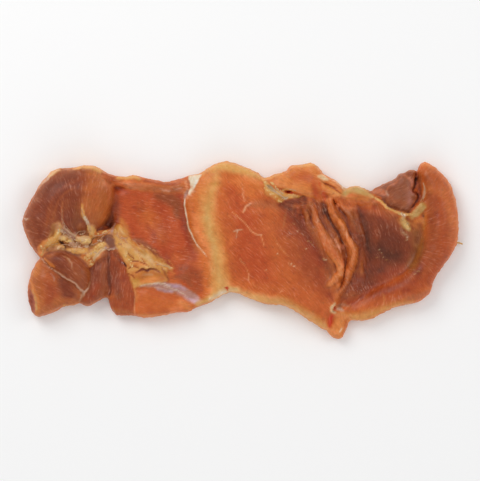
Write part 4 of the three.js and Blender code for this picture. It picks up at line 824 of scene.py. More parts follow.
mark(FAT, [(47, -31.4, 0.9), (52, -32, 1.8), (58, -32.2, 2.2), (64, -30.6, 2), (70, -27.8, 1.6),
           (76, -26, 1.2), (82, -25, 0.9)], soft=5, strength=0.8, fatty=0.4)
mark(PINK_MUSCLE, [(80, -22.8, 0.8), (85, -22.2, 1.4), (89.6, -20.2, 1.3)], soft=2.4, strength=0.8)
mark(THREAD, [(68.2, -20.6, 0.2), (69, -23.4, 0.3), (68, -26, 0.3)], soft=1, strength=0.6)

patch(BROWN_MUSCLE_AND_SHADE, [(44, 22), (50, 24), (58, 24.6), (64, 23.4), (70, 19.6), (76, 16), (82, 15), (85.6, 12),
                     (85.4, 2), (82.6, -5), (77, -9.6), (71, -12.6), (63, -16.6), (54, -23), (47, -23),
                     (52.6, -14), (56.4, -4), (56, 4), (53, 12), (48, 19)], soft=5)
mark(MUSCLE, [(44.6, 23.4, 1.4), (49, 22.8, 2.4), (55, 22, 2.6), (61, 21, 2.2), (66, 18.6, 1.6), (70, 15, 1)],
     soft=4, strength=0.9)
mark(DARK_MUSCLE_AND_SHADE, [(68, 14, 2.6), (70, 8, 5), (74, 4, 4)], soft=7, strength=0.9)
mark(SHADE, [(66, 2, 1.6), (69.6, -2, 3), (75, -2.4, 2.4)], soft=7, strength=0.85)
mark(SHADE, [(57, 19.4, 0.4), (59.4, 14, 0.8), (61.2, 8, 1.4), (62, 2, 1.6), (63, -3.6, 0.8)], soft=5,
     strength=0.7)
mark(TAN_MUSCLE, [(64.2, 14, 0.5), (65, 8, 0.8), (65.6, 2, 0.5)], soft=2.6, strength=0.4)
mark(DARK_MUSCLE_AND_SHADE, [(60, -12.6, 0.7), (64.6, -9.6, 1.1), (69, -7.4, 1)], soft=4, strength=0.8)
mark(DEEP_MUSCLE, [(56, 0, 1), (58, -8, 2), (55, -16, 2.4), (51.6, -21, 1.6)], soft=6, strength=0.6)
mark(DEEP_MUSCLE, [(66, -13, 1.2), (73, -10.6, 2), (80, -9.4, 1.8)], soft=5, strength=0.8)
mark(OLIVE_MUSCLE, [(82.6, 12, 1.6), (85, 6, 2), (84.8, -1, 2), (82, -7, 1.6)], soft=6, strength=0.75)
mark(OLIVE_MUSCLE, [(86, 12, 1), (87, 5, 1.4), (86, -2, 1.4), (82, -8, 1.2)], soft=5, strength=0.6)

mark(OLIVE_FAT, [(49.6, 27, 1.4), (52.6, 29.6, 2.2), (56, 30, 2.6), (59.8, 28, 2), (62.4, 26.2, 1)], soft=2.4,
     raised=0.2, fatty=0.8)
mark(PALE_FAT, [(52, 30.4, 0.5), (55, 31, 0.8), (58, 30.4, 0.5)], soft=1.4, strength=0.7)
mark(ORANGE_FAT, [(50.6, 25, 0.5), (56, 25.6, 0.8), (61, 24.6, 0.8)], soft=2)
patch(PURPLE_MUSCLE, [(61.6, 28.2), (67, 32), (71.4, 34), (74.6, 35.2), (75.4, 38.2), (78.2, 37.4),
                      (80.4, 39.8), (85, 40), (83.8, 34), (83.3, 30), (85, 27), (84, 23.6), (81, 18.4),
                      (77, 19), (73, 20), (70, 21.4), (67.6, 25)], soft=0.8)
mark(PINK_MUSCLE, [(63.6, 27.8, 0.8), (66.6, 28.4, 1.6), (69, 27, 1)], soft=1.4)
mark(PINK_MUSCLE, [(69.6, 27.6, 0.3), (70.6, 30, 0.4), (73.4, 31.8, 0.4), (77, 35, 0.3)], soft=0.9,
     strength=0.8, raised=0.2)
mark(PINK_MUSCLE, [(78.4, 36, 0.4), (80.6, 34.4, 0.5), (82, 31, 0.4)], soft=0.9, strength=0.8, raised=0.15)
mark(BROWN_MUSCLE_AND_SHADE, [(72, 26, 1), (74, 24, 1.6), (78, 22, 1.4)], soft=3, strength=0.8)
mark(PINK_MUSCLE, [(72.6, 25.4, 0.2), (74.6, 22.6, 0.25)], soft=0.6, strength=0.6)
mark(MEMBRANE, [(69.6, 28.4, 0.4), (70.6, 26.6, 0.5)], soft=0.6, strength=0.6)
# Painted shadow under the inner fillet's overhanging edge.
mark(VALLEY_SHADE, [(70, 22.6, 0.4), (73, 20.6, 0.5), (77, 19.6, 0.4), (80.4, 18.6, 0.4)], soft=0.7)
mark(DARK_MUSCLE_AND_SHADE, [(80.4, 37, 1), (82.6, 36, 1.2), (84, 33.6, 0.8)], soft=1.5)
# Painted shade in the dark gaps beside the inner fillet.
mark(PIT_SHADE, [(84.8, 38, 0.2), (84.2, 35, 0.45), (83.8, 32, 0.4), (83, 29.4, 0.3)], soft=0.9, strength=0.85,
     raised=-0.5)
mark(PIT_SHADE, [(82.8, 28.9, 0.5), (84.4, 27.6, 0.6), (85.4, 26.2, 0.4), (84.2, 23.4, 0.3), (82.4, 20.6, 0.2)],
     soft=0.8, strength=0.85, raised=-0.5)
mark(OLIVE_FAT, [(88, 10.4, 0.6), (88.4, 14, 0.8), (88, 17.6, 0.5)], soft=2.6, strength=0.4)
# A painted shadow beside the gap.
mark(DARK_MUSCLE_AND_SHADE, [(86.4, 35, 0.7), (86, 31, 0.8), (86.4, 27.6, 0.4)], soft=1.6, strength=0.8)
mark(MEMBRANE, [(87.8, 32, 0.3), (88.4, 29, 0.6), (88, 25.6, 0.8), (86.8, 23.8, 0.4)], soft=0.8, strength=0.7,
     raised=0.15)
mark(FAT, [(61.8, 26.4, 0.4), (64.8, 24.8, 0.4), (67.4, 23.6, 0.5), (69.2, 22.4, 0.8), (71, 20.4, 0.5),
           (73.8, 18.8, 0.7), (77, 17.8, 0.8), (81, 17, 0.7)], soft=0.6, raised=0.3, fatty=1)
mark(OLIVE_FAT, [(82, 16.4, 1.2), (85, 18.4, 1.8), (87.4, 21.4, 1.8)], soft=1.6, raised=0.3, fatty=0.9)
mark(ORANGE_FAT, [(84, 14.4, 1), (87, 15, 0.9)], soft=2, strength=0.8)
mark(CREAM, [(77.2, 18, 0.5), (78.6, 16.6, 0.6), (77.4, 14.8, 0.6)], soft=0.6, raised=0.15)
mark(ORANGE_FAT, [(76, 15.4, 1), (80, 13.6, 2.6), (83.4, 11.4, 1.8)], soft=4, strength=0.7)
mark(OLIVE_FAT, [(77.4, 15, 1), (79, 12.8, 1.8), (80.8, 10.4, 1)], soft=1.8, raised=0.2, fatty=0.9)
mark(STAIN_AND_SHADOW, [(80, 13, 0.4), (79.8, 12.2, 0.3)], soft=0.6, strength=0.8, raised=-0.2)
mark(SHADE, [(87.6, 17.2, 0.1), (88, 16.6, 0.3)], soft=0.9, strength=0.7, raised=-0.3)
mark(FILM, [(77, 10.6, 0.6), (78.4, 8, 0.7), (80.4, 6.4, 0.6), (79, 4.6, 0.4)], soft=1, strength=0.5)
told("the bowl and the rim")

# %% [markdown]
# ## The pinch and the tail
# All the folds run out in one pinch with a small round hole, cream at its border. Below it hangs the tail.

# %% Paint the pinch and the tail
patch(ORANGE_MUSCLE, [(42.6, -38), (45, -31.6), (49, -31), (53, -32), (51, -42), (45, -45), (41.6, -40)],
      soft=1.6)
mark(MUSCLE, [(50.6, -33.4, 0.5), (50.4, -37, 0.7), (49, -41, 0.5)], soft=1.6, strength=0.7)
mark(BLOOD, [(44, -31, 0.4), (43.3, -33.8, 1.1), (42.5, -36.6, 0.6)], soft=3.4, strength=0.8, raised=-0.3)
mark(RED_CORE, [(43.7, -32.2, 0.1), (43.3, -34, 0.6), (42.9, -36, 0.1)], soft=2.8, strength=0.9)
mark(PALE_FAT, [(45.2, -25.4, 0.7), (43.8, -27, 0.9), (43.6, -28.8, 0.8), (45, -29.8, 0.6)], soft=1.4,
     raised=0.2)
mark(MEMBRANE, [(46.6, -28, 0.7), (47.8, -28.4, 1.1), (49.4, -29.2, 0.4)], soft=1.6, strength=0.8, ragged=1)
mark(FILM, [(46.6, -26.4, 0.4), (49.4, -26.2, 0.7), (52, -26.8, 0.4)], soft=1.4, strength=0.5)
mark(BLOOD, [(45.3, -27.2, 0.4), (45.3, -27.9, 0.4)], soft=0.7)
# A painted glint on the wet tail, laid in cream.
mark(CREAM, [(48.4, -37.4, 0.3), (47.8, -39, 0.3)], soft=0.5, strength=0.7, raised=0.1)
told("the pinch and the tail")

# %% [markdown]
# ## Cream at the torn corner, and painted glints
# The sheet ends in a torn corner that shows cream. Small pale flecks scattered over the cut side are painted
# glints of the wet surface. Each fleck is the same short stroke, so a loop lays them.

# %% Lay the cream and the painted glints
mark(CREAM, [(-24, 26.6, 0.3), (-23.3, 28.8, 0.7), (-22.9, 30, 0.2)], soft=1.6, strength=0.6)
GLINT_FLECKS = [(28, 8), (29.4, 7.4), (27, 9.2), (32, 4.4), (33.6, 3.6), (34.4, 2.6), (30, 1.6), (31.2, 1),
          (40, -3.4),
          (40.6, -4.6), (25, -6.4), (23.6, -6), (26.4, -7), (25.6, 13), (24.4, 12.4), (18, -2), (12, -9),
          (66.4, 0.6), (67, -0.8), (67.6, -2.8), (65.4, -3.4), (70, -4.4), (71.4, -6), (79, 7.6), (79.8, 6.4),
          (80.4, 5), (78.6, 8.4), (82.8, -9), (84.2, -10), (83.4, -11), (85, -10.4)]
for x, y in GLINT_FLECKS:
    mark(CREAM, [(x - 0.4, y, 0.1), (x + 0.3, y - 0.2, 0.2)], soft=0.5, strength=0.75, raised=0.1, ragged=1)
told("the corner and the flecks")

# %% [markdown]
# ## Darker and paler places
# Some places are made darker and some paler. Each place is a line of stops with the width of its border
# and a strength. A glaze multiplies what is painted, so details under it stay. The places were set where a
# render's colours still differed from the photo's.

# %% Glaze the darker and the paler places
DARKER_PLACES = [
    ([(-96, 8, 2), (-96, 17, 3.4), (-91, 27, 4.4), (-84, 33.6, 3), (-75, 34, 2.6)], 6, 0.75),
    ([(-89, -12.6, 0.8), (-86, -13.4, 0.6)], 2, 0.4),
    ([(-101, -22, 0.6), (-100.4, -28, 0.8)], 1.4, 1),
    ([(-88, -3.6, 1.2), (-84, -3, 1.6)], 3, 0.8),
    ([(-73, -22, 2), (-69, -15, 2.4), (-69, -9, 1.4)], 4, 0.5),
    ([(-50, -14, 1.6), (-44, -11, 1.6), (-38, -10.4, 1.6)], 3, 0.7),
    ([(-92, 4, 1.6), (-86, 5, 2.4), (-78, 5, 2.6), (-70, 3, 2.6), (-66, 7.6, 1.6)], 3, 0.4),
    ([(-60, 9.4, 1.4), (-57.4, 5, 1.6)], 3, 0.4),
    ([(-70, 29, 1.4), (-70, 23, 1.4)], 5, 0.5),
    ([(-38, 20, 3), (-37, 8, 2.6), (-37, -2, 3), (-34, -6, 2)], 8, 0.45),
    ([(-28.4, 16, 0.6), (-28, 11, 1), (-25.4, 5, 1), (-23, -3, 2)], 3, 0.8),
    ([(19, 22, 2), (24, 18, 3), (28, 13, 3.4), (32.4, 7, 3), (36, 0, 2.4), (39, -6, 1.4)], 5, 1),
    ([(33.6, 20, 1), (33.4, 14, 1)], 3, 0.6),
    ([(54, 10, 1), (57, 3, 1.4)], 4, 0.4),
    ([(90, 34, 3), (93, 22, 5), (95, 8, 5), (94, -4, 6), (88, -12, 5), (80, -17, 4), (70, -19.6, 3.4),
      (60, -22.6, 3)], 7, 0.7),
    ([(84.4, 38, 0.6), (84, 33, 1), (82.4, 30, 1)], 1.6, 0.8),
    ([(30.6, 21, 0.8), (30.8, 18, 0.6)], 2.4, 0.8),
    ([(-90, 7.6, 1), (-89.4, 11.6, 1)], 2, 1),
    ([(-83.6, 2, 1), (-83, 5, 1)], 2, 1),
    ([(-62.2, 21, 0.8), (-62, 19, 0.8)], 2, 0.8),
    ([(-59.6, 10.4, 1), (-59, 14.4, 1.2)], 2.4, 1.2),
    ([(-71.6, -3.6, 0.8), (-70.6, -4.6, 0.8)], 2, 0.7),
    ([(-53.4, -3.4, 0.8), (-52.6, -4.6, 0.8)], 2, 0.8),
    ([(-47.4, 22.6, 1.4), (-47, 19.6, 1.4)], 3, 0.8),
    ([(-44.6, 11.6, 1), (-41.6, 7.6, 1.4), (-40.6, 4.6, 1)], 3, 0.8),
    ([(-47.6, -0.6, 1), (-46, -1.6, 1)], 2, 0.9),
    ([(-35.4, -6.6, 0.8), (-34, -7.4, 0.6)], 2, 0.8),
    ([(-29.6, -0.6, 1.2), (-28, -1.4, 1)], 3, 0.7),
    ([(-26.4, 12.6, 0.8), (-25.8, 9.8, 0.8)], 2, 0.8),
    ([(12.6, 23.4, 0.8), (14, 22.6, 0.8)], 2.4, 0.9),
    ([(18.6, 26.2, 0.8), (19.8, 25.6, 0.8)], 2, 0.9),
    ([(27.6, 26.2, 0.8), (29, 25.8, 0.6)], 1.8, 1),
    ([(39.6, -0.4, 1), (40.8, -2, 1)], 2.4, 0.7),
    ([(42.6, -21.4, 1.4), (43.6, -23, 1)], 3, 0.9),
    ([(43, 17, 0.8), (43.6, 11, 0.8)], 2, 0.8),
    ([(46.2, 14.4, 0.6), (46.4, 13, 0.6)], 1.6, 0.7),
    ([(52, -6.4, 0.8), (52.2, -8, 0.8)], 2, 0.9),
    ([(57.8, 5.4, 0.8), (55.4, 8, 0.8)], 2.4, 0.9),
    ([(63.4, -16.2, 1), (65, -15.6, 1)], 2.4, 0.9),
    ([(66.6, -10.2, 1), (68, -9.6, 1)], 2.4, 0.9),
    ([(78, -19.2, 1), (80.4, -18.6, 1)], 2.4, 0.9),
    ([(84.4, -10.4, 1), (85.6, -9.4, 1)], 2.4, 0.9),
    ([(81.4, 11.6, 0.8), (82.8, 10.4, 0.8)], 2, 1.2),
    ([(88, 22.2, 0.8), (88, 24, 0.8)], 2, 1.2),
    ([(-101, -19.4, 0.8), (-101, -22, 0.8)], 2, 0.6),
    ([(-83.4, 5, 0.6), (-82.6, 5, 0.6)], 2, 0.5),
    ([(-77.4, 8, 0.8), (-76.4, 8, 0.6)], 2, 0.7),
    ([(-71.6, 2, 0.6), (-70.4, 2, 0.6)], 2, 0.6),
    ([(-62.4, -12.6, 0.8), (-62.2, -16.4, 0.8)], 2, 0.8),
    ([(-62.4, -0.6, 0.6), (-61.6, -1.4, 0.6)], 2, 0.7),
    ([(-56, -12.4, 0.8), (-56, -14, 0.8)], 2.4, 0.7),
    ([(-50.6, 20.6, 1), (-49.2, 19.4, 1)], 2.4, 0.8),
    ([(-44.8, -16, 0.5), (-43, -16, 0.5)], 1.6, 0.6),
    ([(-26.6, -0.6, 1.2), (-26, -4.2, 1)], 3, 0.7),
    ([(9.4, 17, 1), (10.6, 17, 1)], 2.4, 0.6),
    ([(45.2, -12.8, 0.8), (46.6, -13.4, 0.8)], 2, 0.7),
    ([(51.6, -25, 0.8), (55.4, -25, 0.8)], 2.4, 0.8),
    ([(52, -3.8, 0.8), (52.2, -5, 0.6)], 1.8, 0.7),
    ([(51.6, 8.4, 0.8), (52.4, 7.4, 0.8)], 2, 0.7),
    ([(57.4, -22, 0.8), (58.6, -22, 0.8)], 2, 0.6),
    ([(58, 1.4, 0.8), (58, 5.6, 0.8)], 2, 0.8),
    ([(58, 14, 0.8), (58, 17.2, 0.8)], 2, 0.6),
    ([(61, 1.6, 0.8), (61, 5.4, 0.8)], 2.4, 0.7),
    ([(63.4, 20.2, 0.8), (64.8, 19.6, 0.8)], 2, 0.7),
    ([(72.4, 20.2, 0.6), (73.8, 19.6, 0.6)], 1.8, 0.8),
    ([(81.6, 26.4, 0.8), (82.4, 25.6, 0.8)], 2, 1),
    ([(85, 6, 0.8), (85, 4, 0.8)], 2.4, 0.8),
    ([(93.6, 17.6, 1), (94.4, 16.4, 1)], 2.6, 0.6),
    ([(-86.4, 2, 0.6), (-85.6, 2.4, 0.6)], 2, 0.6),
    ([(-80.6, 2.2, 0.6), (-79.4, 2, 0.6)], 2, 0.6),
    ([(-77, 23, 1), (-77, 32, 1.2), (-74, 32, 1)], 4, 0.5),
    ([(-71.6, -22, 0.8), (-70.4, -22, 0.8)], 2, 0.6),
    ([(-38, -19, 0.8), (-35, -19, 0.8)], 2, 0.5),
    ([(-35.4, -10.6, 0.6), (-34.6, -9.4, 0.6)], 2, 0.7),
    ([(-35.4, -4.4, 0.8), (-34.4, -3.6, 0.8)], 2.4, 0.8),
    ([(-29.6, 26, 0.8), (-28.4, 26, 0.8)], 2.4, 0.6),
    ([(-14, 32.2, 1), (-11, 32, 1)], 2.4, 0.7),
    ([(21.6, 26.2, 0.6), (22.6, 26, 0.6)], 1.6, 0.6),
    ([(24.4, -19, 1), (25.6, -18.6, 1)], 3, 0.5),
    ([(78.6, 8.6, 0.8), (79.4, 7.4, 0.6)], 2, 0.6),
    ([(82, -16.2, 0.8), (85, -13, 1), (86, -8, 0.8), (85.6, -4, 0.6)], 2.6, 0.6),
    ([(91, 14.8, 0.8), (91, 13, 0.8)], 2.4, 0.6),
]
PALER_PLACES = [
    ([(25, 5.6, 1.4), (25.4, 2, 1.4), (28, -3.6, 1)], 3, 0.5),
    ([(49, -0.6, 0.8), (49, -7, 0.8)], 2, 0.5),
    ([(-26, 25.6, 0.8), (-24, 28, 0.9)], 2.4, 0.5),
    ([(79, 17, 0.6), (73.4, 17, 0.6)], 1.6, 0.4),
    ([(-82, 38.4, 1), (-76, 38.8, 1.2), (-66, 36, 1)], 2.4, 0.8),
    ([(-66, -1, 1), (-67.6, -5, 1)], 2.6, 0.7),
    ([(48, 21, 1.4), (52.4, 20, 1.6), (56, 22, 1.6), (62, 22.6, 1.4), (67, 22, 1), (73, 17, 1)], 4, 0.9),
    ([(58, 10, 0.8), (58.6, -6, 1.4), (58, -12, 1.6)], 4, 0.7),
    ([(49, 2.6, 0.6), (49.4, -2, 0.8), (49.4, -7, 0.8)], 2.4, 0.8),
    ([(49, -21.4, 0.8), (53, -21, 1.2), (60, -22, 1)], 3, 0.8),
    ([(83, 34, 1), (81.6, 28, 1.4), (80, 22, 1)], 4, 0.9),
    ([(86, 35.6, 0.6), (86.6, 31, 1), (88, 24, 1.4), (88, 14, 1)], 3, 0.9),
    ([(80, 10, 1.6), (83, 4, 1.6), (81.6, -5, 1.4), (78, -10, 1)], 5, 0.6),
    ([(-65, 32.6, 1), (-58, 31.6, 1.6), (-50, 31, 2), (-44, 31, 1.6)], 3, 1),
    ([(-22, 16, 1.6), (-19, 5, 2), (-15.6, -2, 2), (-13.4, -10, 1)], 5, 0.8),
    ([(-9, 34, 3), (0, 31, 4), (5, 25, 2)], 7, 0.6),
    ([(-5, -16, 1.6), (4, -20, 2), (13, -22, 2)], 4, 0.7),
    ([(42, -13.6, 0.8), (44, -12, 1.2), (46.6, -9, 0.8)], 2.4, 1),
    ([(41.6, 9, 0.8), (43, 5, 1.2)], 2.4, 0.8),
    ([(46.6, -16, 0.8), (46, -22, 0.8)], 2, 0.8),
    ([(36.4, 24.6, 1), (44, 24.6, 1)], 2.4, 0.8),
    ([(43.6, 4.6, 1), (47, 0, 1)], 2.4, 0.8),
    ([(-30, -24.4, 1), (-25, -24, 1.4), (-20, -24, 1)], 3, 0.7),
    ([(-95.6, -1.4, 0.8), (-92, -2.4, 1), (-89, -1, 0.8)], 2, 1),
    ([(-92.6, -12.4, 1.4), (-89, -16, 1.4)], 4, 0.8),
    ([(-84.4, -9.4, 1), (-82, -10.6, 1)], 2, 0.7),
    ([(-83.4, 19.6, 1.4), (-83, 23.4, 1.4)], 3, 0.8),
    ([(-77.2, 10.4, 0.8), (-76.4, 12, 0.8)], 2, 0.8),
    ([(-74.8, -19.4, 0.8), (-73.4, -18.6, 0.6)], 1.6, 1),
    ([(-74.8, 2, 0.8), (-73.2, 2.2, 0.6)], 1.6, 1),
    ([(-74.8, 8, 0.8), (-73.2, 8.4, 0.8)], 2, 1),
    ([(-68.4, -4.6, 0.8), (-65, -1, 1), (-59, -1, 0.8)], 2, 0.6),
    ([(-62.8, -22, 1), (-58.4, -22, 1.2)], 3, 0.9),
    ([(-66.4, 35.6, 0.8), (-64, 34.6, 0.8)], 2, 1),
    ([(-56.4, -6.2, 0.6), (-55.6, -8, 0.6)], 1.4, 0.8),
    ([(-50.8, 5.2, 0.8), (-49, 4.6, 0.8)], 2, 0.9),
    ([(-33, -28, 1), (-28.4, -28, 1)], 2.4, 1.1),
    ([(-30, 29.4, 0.8), (-28, 28.8, 0.8)], 2, 0.8),
    ([(-11.4, 23.6, 1.6), (-11, 19.4, 1.6)], 4, 0.7),
    ([(0.6, 23, 1), (4.6, 23, 1)], 2.4, 0.9),
    ([(39.6, 32.2, 0.8), (43, 31.8, 0.8), (46.4, 29.2, 0.8)], 2, 0.7),
    ([(42.2, -12.4, 1), (44, -13.4, 1)], 2.4, 1),
    ([(45.8, 5.4, 0.8), (46.4, 2, 0.8), (49, 1.6, 0.8)], 2, 0.9),
    ([(49, -3.4, 0.8), (49, -7.6, 0.8)], 2, 0.9),
    ([(45.2, 23.4, 0.9), (47, 22.4, 0.9)], 2, 1.2),
    ([(51.6, 22.6, 1.2), (52, 17.4, 1.4), (55, 17, 1)], 3, 0.9),
    ([(51, 26, 0.7), (53, 26.2, 0.7)], 1.6, 0.9),
    ([(54.8, -0.4, 0.8), (55.2, -4.6, 0.8)], 2, 0.8),
    ([(58, -9.2, 1), (58, -11.2, 1)], 2.4, 0.9),
    ([(63.4, 22.8, 0.8), (66.6, 25.6, 1.2), (70.4, 26, 1.2)], 2.4, 0.9),
    ([(75.2, 14.6, 0.8), (76.8, 13.4, 0.8)], 2, 0.9),
    ([(82, 22.4, 1), (82.2, 29, 1.2), (82.4, 35.4, 1), (85.2, 35, 0.6)], 2.6, 0.8),
    ([(91, 30.4, 1.6), (96.6, 26.6, 2), (100, 22, 1.4), (100.4, 13.6, 1.4)], 5, 0.7),
    ([(-95.2, -25, 1), (-95, -28.4, 1)], 3, 0.6),
    ([(-95.2, -4, 0.6), (-94.4, -4.4, 0.6)], 1.6, 0.7),
    ([(-92.6, 8, 0.8), (-91.4, 8.6, 0.6)], 2, 0.6),
    ([(-77.2, 11.4, 0.8), (-76.6, 12, 0.6)], 2, 0.6),
    ([(-62, 30.6, 1.2), (-56, 32, 1), (-50, 30.6, 1.6)], 3, 0.7),
    ([(-59.4, -1, 0.8), (-59, -4.4, 0.8)], 2, 0.7),
    ([(-49.6, -22, 1), (-49.6, -28.4, 1)], 2.6, 0.7),
    ([(-48, -6.6, 1), (-45, -7.4, 1)], 2, 0.7),
    ([(-23.4, -25.4, 1), (-19.6, -21.6, 1.2)], 2.6, 0.7),
    ([(-17, 35, 1.4), (-14, 32, 1.6), (-10, 28, 1.6)], 4, 0.5),
    ([(-14.6, -19, 1), (-13.4, -19, 1)], 2.4, 0.7),
    ([(1, 35.4, 1), (10, 32.4, 1)], 3, 0.6),
    ([(14.8, -22, 1), (17.4, -22.2, 1)], 2.4, 0.6),
    ([(22, 4.4, 1.2), (22, 6, 1)], 3, 0.6),
    ([(33, -30.4, 1), (35, -31.6, 1)], 2.4, 0.6),
    ([(42.6, -10.4, 0.8), (43.4, -9.6, 0.8)], 2, 0.5),
    ([(42.4, -37.6, 0.8), (46, -40, 1)], 2.4, 0.6),
    ([(45.4, -31, 0.6), (46.8, -31.2, 0.6)], 1.6, 0.6),
    ([(45.6, 2, 0.8), (49.4, 2, 0.8)], 2, 0.6),
    ([(51.4, -22, 0.8), (52.8, -21.8, 0.8)], 2, 0.7),
    ([(52, 23.4, 0.8), (55.4, 23, 0.8)], 2.4, 0.6),
    ([(55, -10, 0.8), (58, -10, 0.8), (58, -6.6, 0.8)], 2.4, 0.6),
    ([(66.6, -0.4, 0.8), (67.4, -1.6, 0.8)], 2.4, 0.9),
    ([(72.6, 32.4, 0.8), (73.6, 31.4, 0.8)], 2, 0.7),
    ([(63.6, 23.4, 0.6), (64.6, 23, 0.6)], 2, 0.6),
    ([(-71.6, 14.4, 0.8), (-70.6, 13.4, 0.8)], 2, 0.6),
    ([(-44, 14.6, 1), (-43.6, 13, 1)], 2.4, 0.6),
    ([(-35.6, 29, 0.8), (-34.4, 29, 0.8)], 2, 0.6),
    ([(-26, 23.6, 0.5), (-26, 22.4, 0.5)], 1.6, 0.6),
    ([(-8.6, 26.4, 1), (-7.4, 25.6, 1)], 3, 0.7),
    ([(-5, 5.8, 1), (-5, 4, 1)], 3, 0.6),
    ([(3.6, -16, 1), (5, -15.8, 1)], 2.4, 0.5),
    ([(46, -28.6, 0.6), (46.6, -27.6, 0.6)], 1.6, 0.7),
    ([(46, -16, 0.8), (49, -16, 0.8)], 2, 0.6),
    ([(49, 2.6, 0.6), (49, 1.4, 0.6)], 2, 0.7),
    ([(58, -6.4, 0.8), (58, -7.6, 0.8)], 2, 0.6),
    ([(58, -28, 1), (60.6, -22, 0.8), (64, -19.2, 0.8)], 2.4, 0.5),
    ([(75.4, 20.2, 0.6), (76.6, 20, 0.6)], 1.8, 0.7),
    ([(87.4, -19, 1), (88.8, -18.6, 1)], 2.6, 0.7),
    ([(90.4, 29.4, 1), (91.6, 28.6, 1)], 2.6, 0.6),
]
glaze(DARKER, depth_in_patch([(58, 20), (66, 17), (74, 10), (82, 6), (83, -2), (78, -9), (68, -16), (56, -23),
                              (50, -22), (57, -8), (58, 6)]), 7, 0.7)
for tone, places in ((DARKER, DARKER_PLACES), (PALER, PALER_PLACES)):
    for stops, soft, strength in places:
        glaze(tone, depth_in_mark(stops), soft, strength)
print("glazed; the mean colour is", colour.mean(axis=0).round())

# %% [markdown]
# ## Torn membrane and painted glints
# Where membrane was pulled off, pale shreds stay between the fibres, and the same pale strokes also stand as
# painted glints of the wet fibres. The points only keep how much of these strokes they take here, and the
# material turns that into fine pale strands further on.

# %% Paint where shreds of membrane and painted glints lie
SHRED_AND_GLINT_FOLDS = [
    (21, 23), (34, 24), (47, 23), (57, 20), (62, 10), (61, -6),
    (57, -16), (50, -22), (47, -12), (40, 2), (33, 10), (24, 13),
]
shred_and_glint(depth_in_patch(SHRED_AND_GLINT_FOLDS), 4, 0.7)
SHRED_AND_GLINT_PLACES = [
    ([(59, -12, 4), (56, -18, 4), (62, -17, 3)], 4, 0.8),
    ([(20, 9, 1.5), (26, 8.4, 2.4), (32, 4, 2.4), (36, 0, 1.4)], 3, 0.9),
    ([(-44, 3, 1), (-38, 8, 3), (-33, 14, 3), (-30, 19, 1)], 4, 0.8),
    ([(-104, 22, 0.5), (-102, 12, 2), (-97, 3, 1.5)], 3, 0.25),
    ([(-66, 36, 1), (-72, 37.6, 1), (-62.6, 26, 0.6), (-63, 19, 0.6)], 2, 0.7),
    ([(4, 20, 1), (10, 17, 3), (16, 14, 3)], 4, 0.5),
    ([(24, -8, 2), (30, -9, 2), (36, -14, 2)], 4, 0.4),
    ([(-45, 31, 1), (-37, 30, 1), (-30, 31, 1)], 3, 0.8),
    ([(-55, 0, 2), (-60, -14, 2), (-58, -26, 2)], 4, 0.5),
    ([(97, 24, 2), (98, 10, 3), (95, -4, 3), (86, -16, 3)], 5, 0.25),
    ([(70, 12, 3), (78, 6, 3), (72, 0, 3)], 5, 0.45),
    ([(84, 22, 0.5), (86.6, 30, 1), (87, 38, 0.5)], 2, 0.7),
]
for stops, soft, strength in SHRED_AND_GLINT_PLACES:
    shred_and_glint(depth_in_mark(stops), soft, strength)
print("painted; the mean colour is", colour.mean(axis=0).round())

# %% [markdown]
# ## The grain
# Muscle fibres run one way in each muscle and spread like a fan where a muscle does. Each point is given
# its place along and across the fibres there, in millimetres, so that one pattern can follow them all. The
# steep walls count as laid flat round the meat, or the pattern would run straight down them in stripes.

# %% The grain of every muscle
grain = np.zeros((count, 3))
WALL_TOP = 8.0
SEED_STEP = 40.0
STRAIGHT_BEND = 1.2
FAN_BEND = 0.8
wall = smoothly((0.55 - normals[:, 2]) / 0.5)
drop = np.clip(WALL_TOP - spots[:, 2], 0, None) * wall
laid_flat = spots[:, :2] + drop[:, None] * normals[:, :2]


def straight_grain(outline, degrees, seed):
    """Fibres that run side by side inside an outline."""
    along = np.array([math.cos(math.radians(degrees)), math.sin(math.radians(degrees))])
    across = np.array([-along[1], along[0]])
    here = depth_in_patch(outline) > 0
    bent = laid_flat[here] + STRAIGHT_BEND * bend[here]
    place = np.full(here.sum(), SEED_STEP * seed)
    grain[here] = np.stack([bent @ along, bent @ across, place], axis=1)


def fan_grain(outline, middle, reach, seed):
    """Fibres that spread from a middle inside an outline; reach is where they are as wide as elsewhere."""
    here = depth_in_patch(outline) > 0
    arm = laid_flat[here] + FAN_BEND * bend[here] - np.array(middle)
    turn = np.arctan2(arm[:, 1], arm[:, 0])
    place = np.full(here.sum(), SEED_STEP * seed)
    grain[here] = np.stack([np.linalg.norm(arm, axis=1), reach * turn, place], axis=1)


straight_grain([(-120, -60), (120, -60), (120, 60), (-120, 60)], -12, 1)
fan_grain([(-106, 12), (-97, -2), (-84, 5), (-73, 6.5), (-64, 10), (-61, 24), (-61, 34), (-72, 44), (-92, 44),
           (-106, 28)], (-76, 0), 22, 2)
straight_grain([(-106, -4), (-95, -4), (-84, -13), (-75, -20), (-76, -30), (-106, -36)], -28, 3)
straight_grain([(-96, -3), (-86, 0.4), (-76, -4), (-71, -12), (-73, -20), (-84, -14)], -40, 4)
straight_grain([(-78, -26), (-72, -14), (-71, -6), (-62, 0), (-55, -6), (-50, -18), (-51, -36), (-80, -36)],
               86, 5)
straight_grain([(-18, 45), (-13, 5), (-11, -24), (44, -48), (47, -20), (40, -6), (31, 14), (20, 23), (10, 34),
                (10, 46)], -45, 6)
straight_grain([(10, 34), (20, 24), (32, 22), (40, 26), (50, 30), (42, 50), (8, 50)], -20, 7)
straight_grain([(31, 20), (38, 25), (50, 24), (56, 10), (56, -6), (50, -22), (44, -24), (40, -6)], -66, 8)
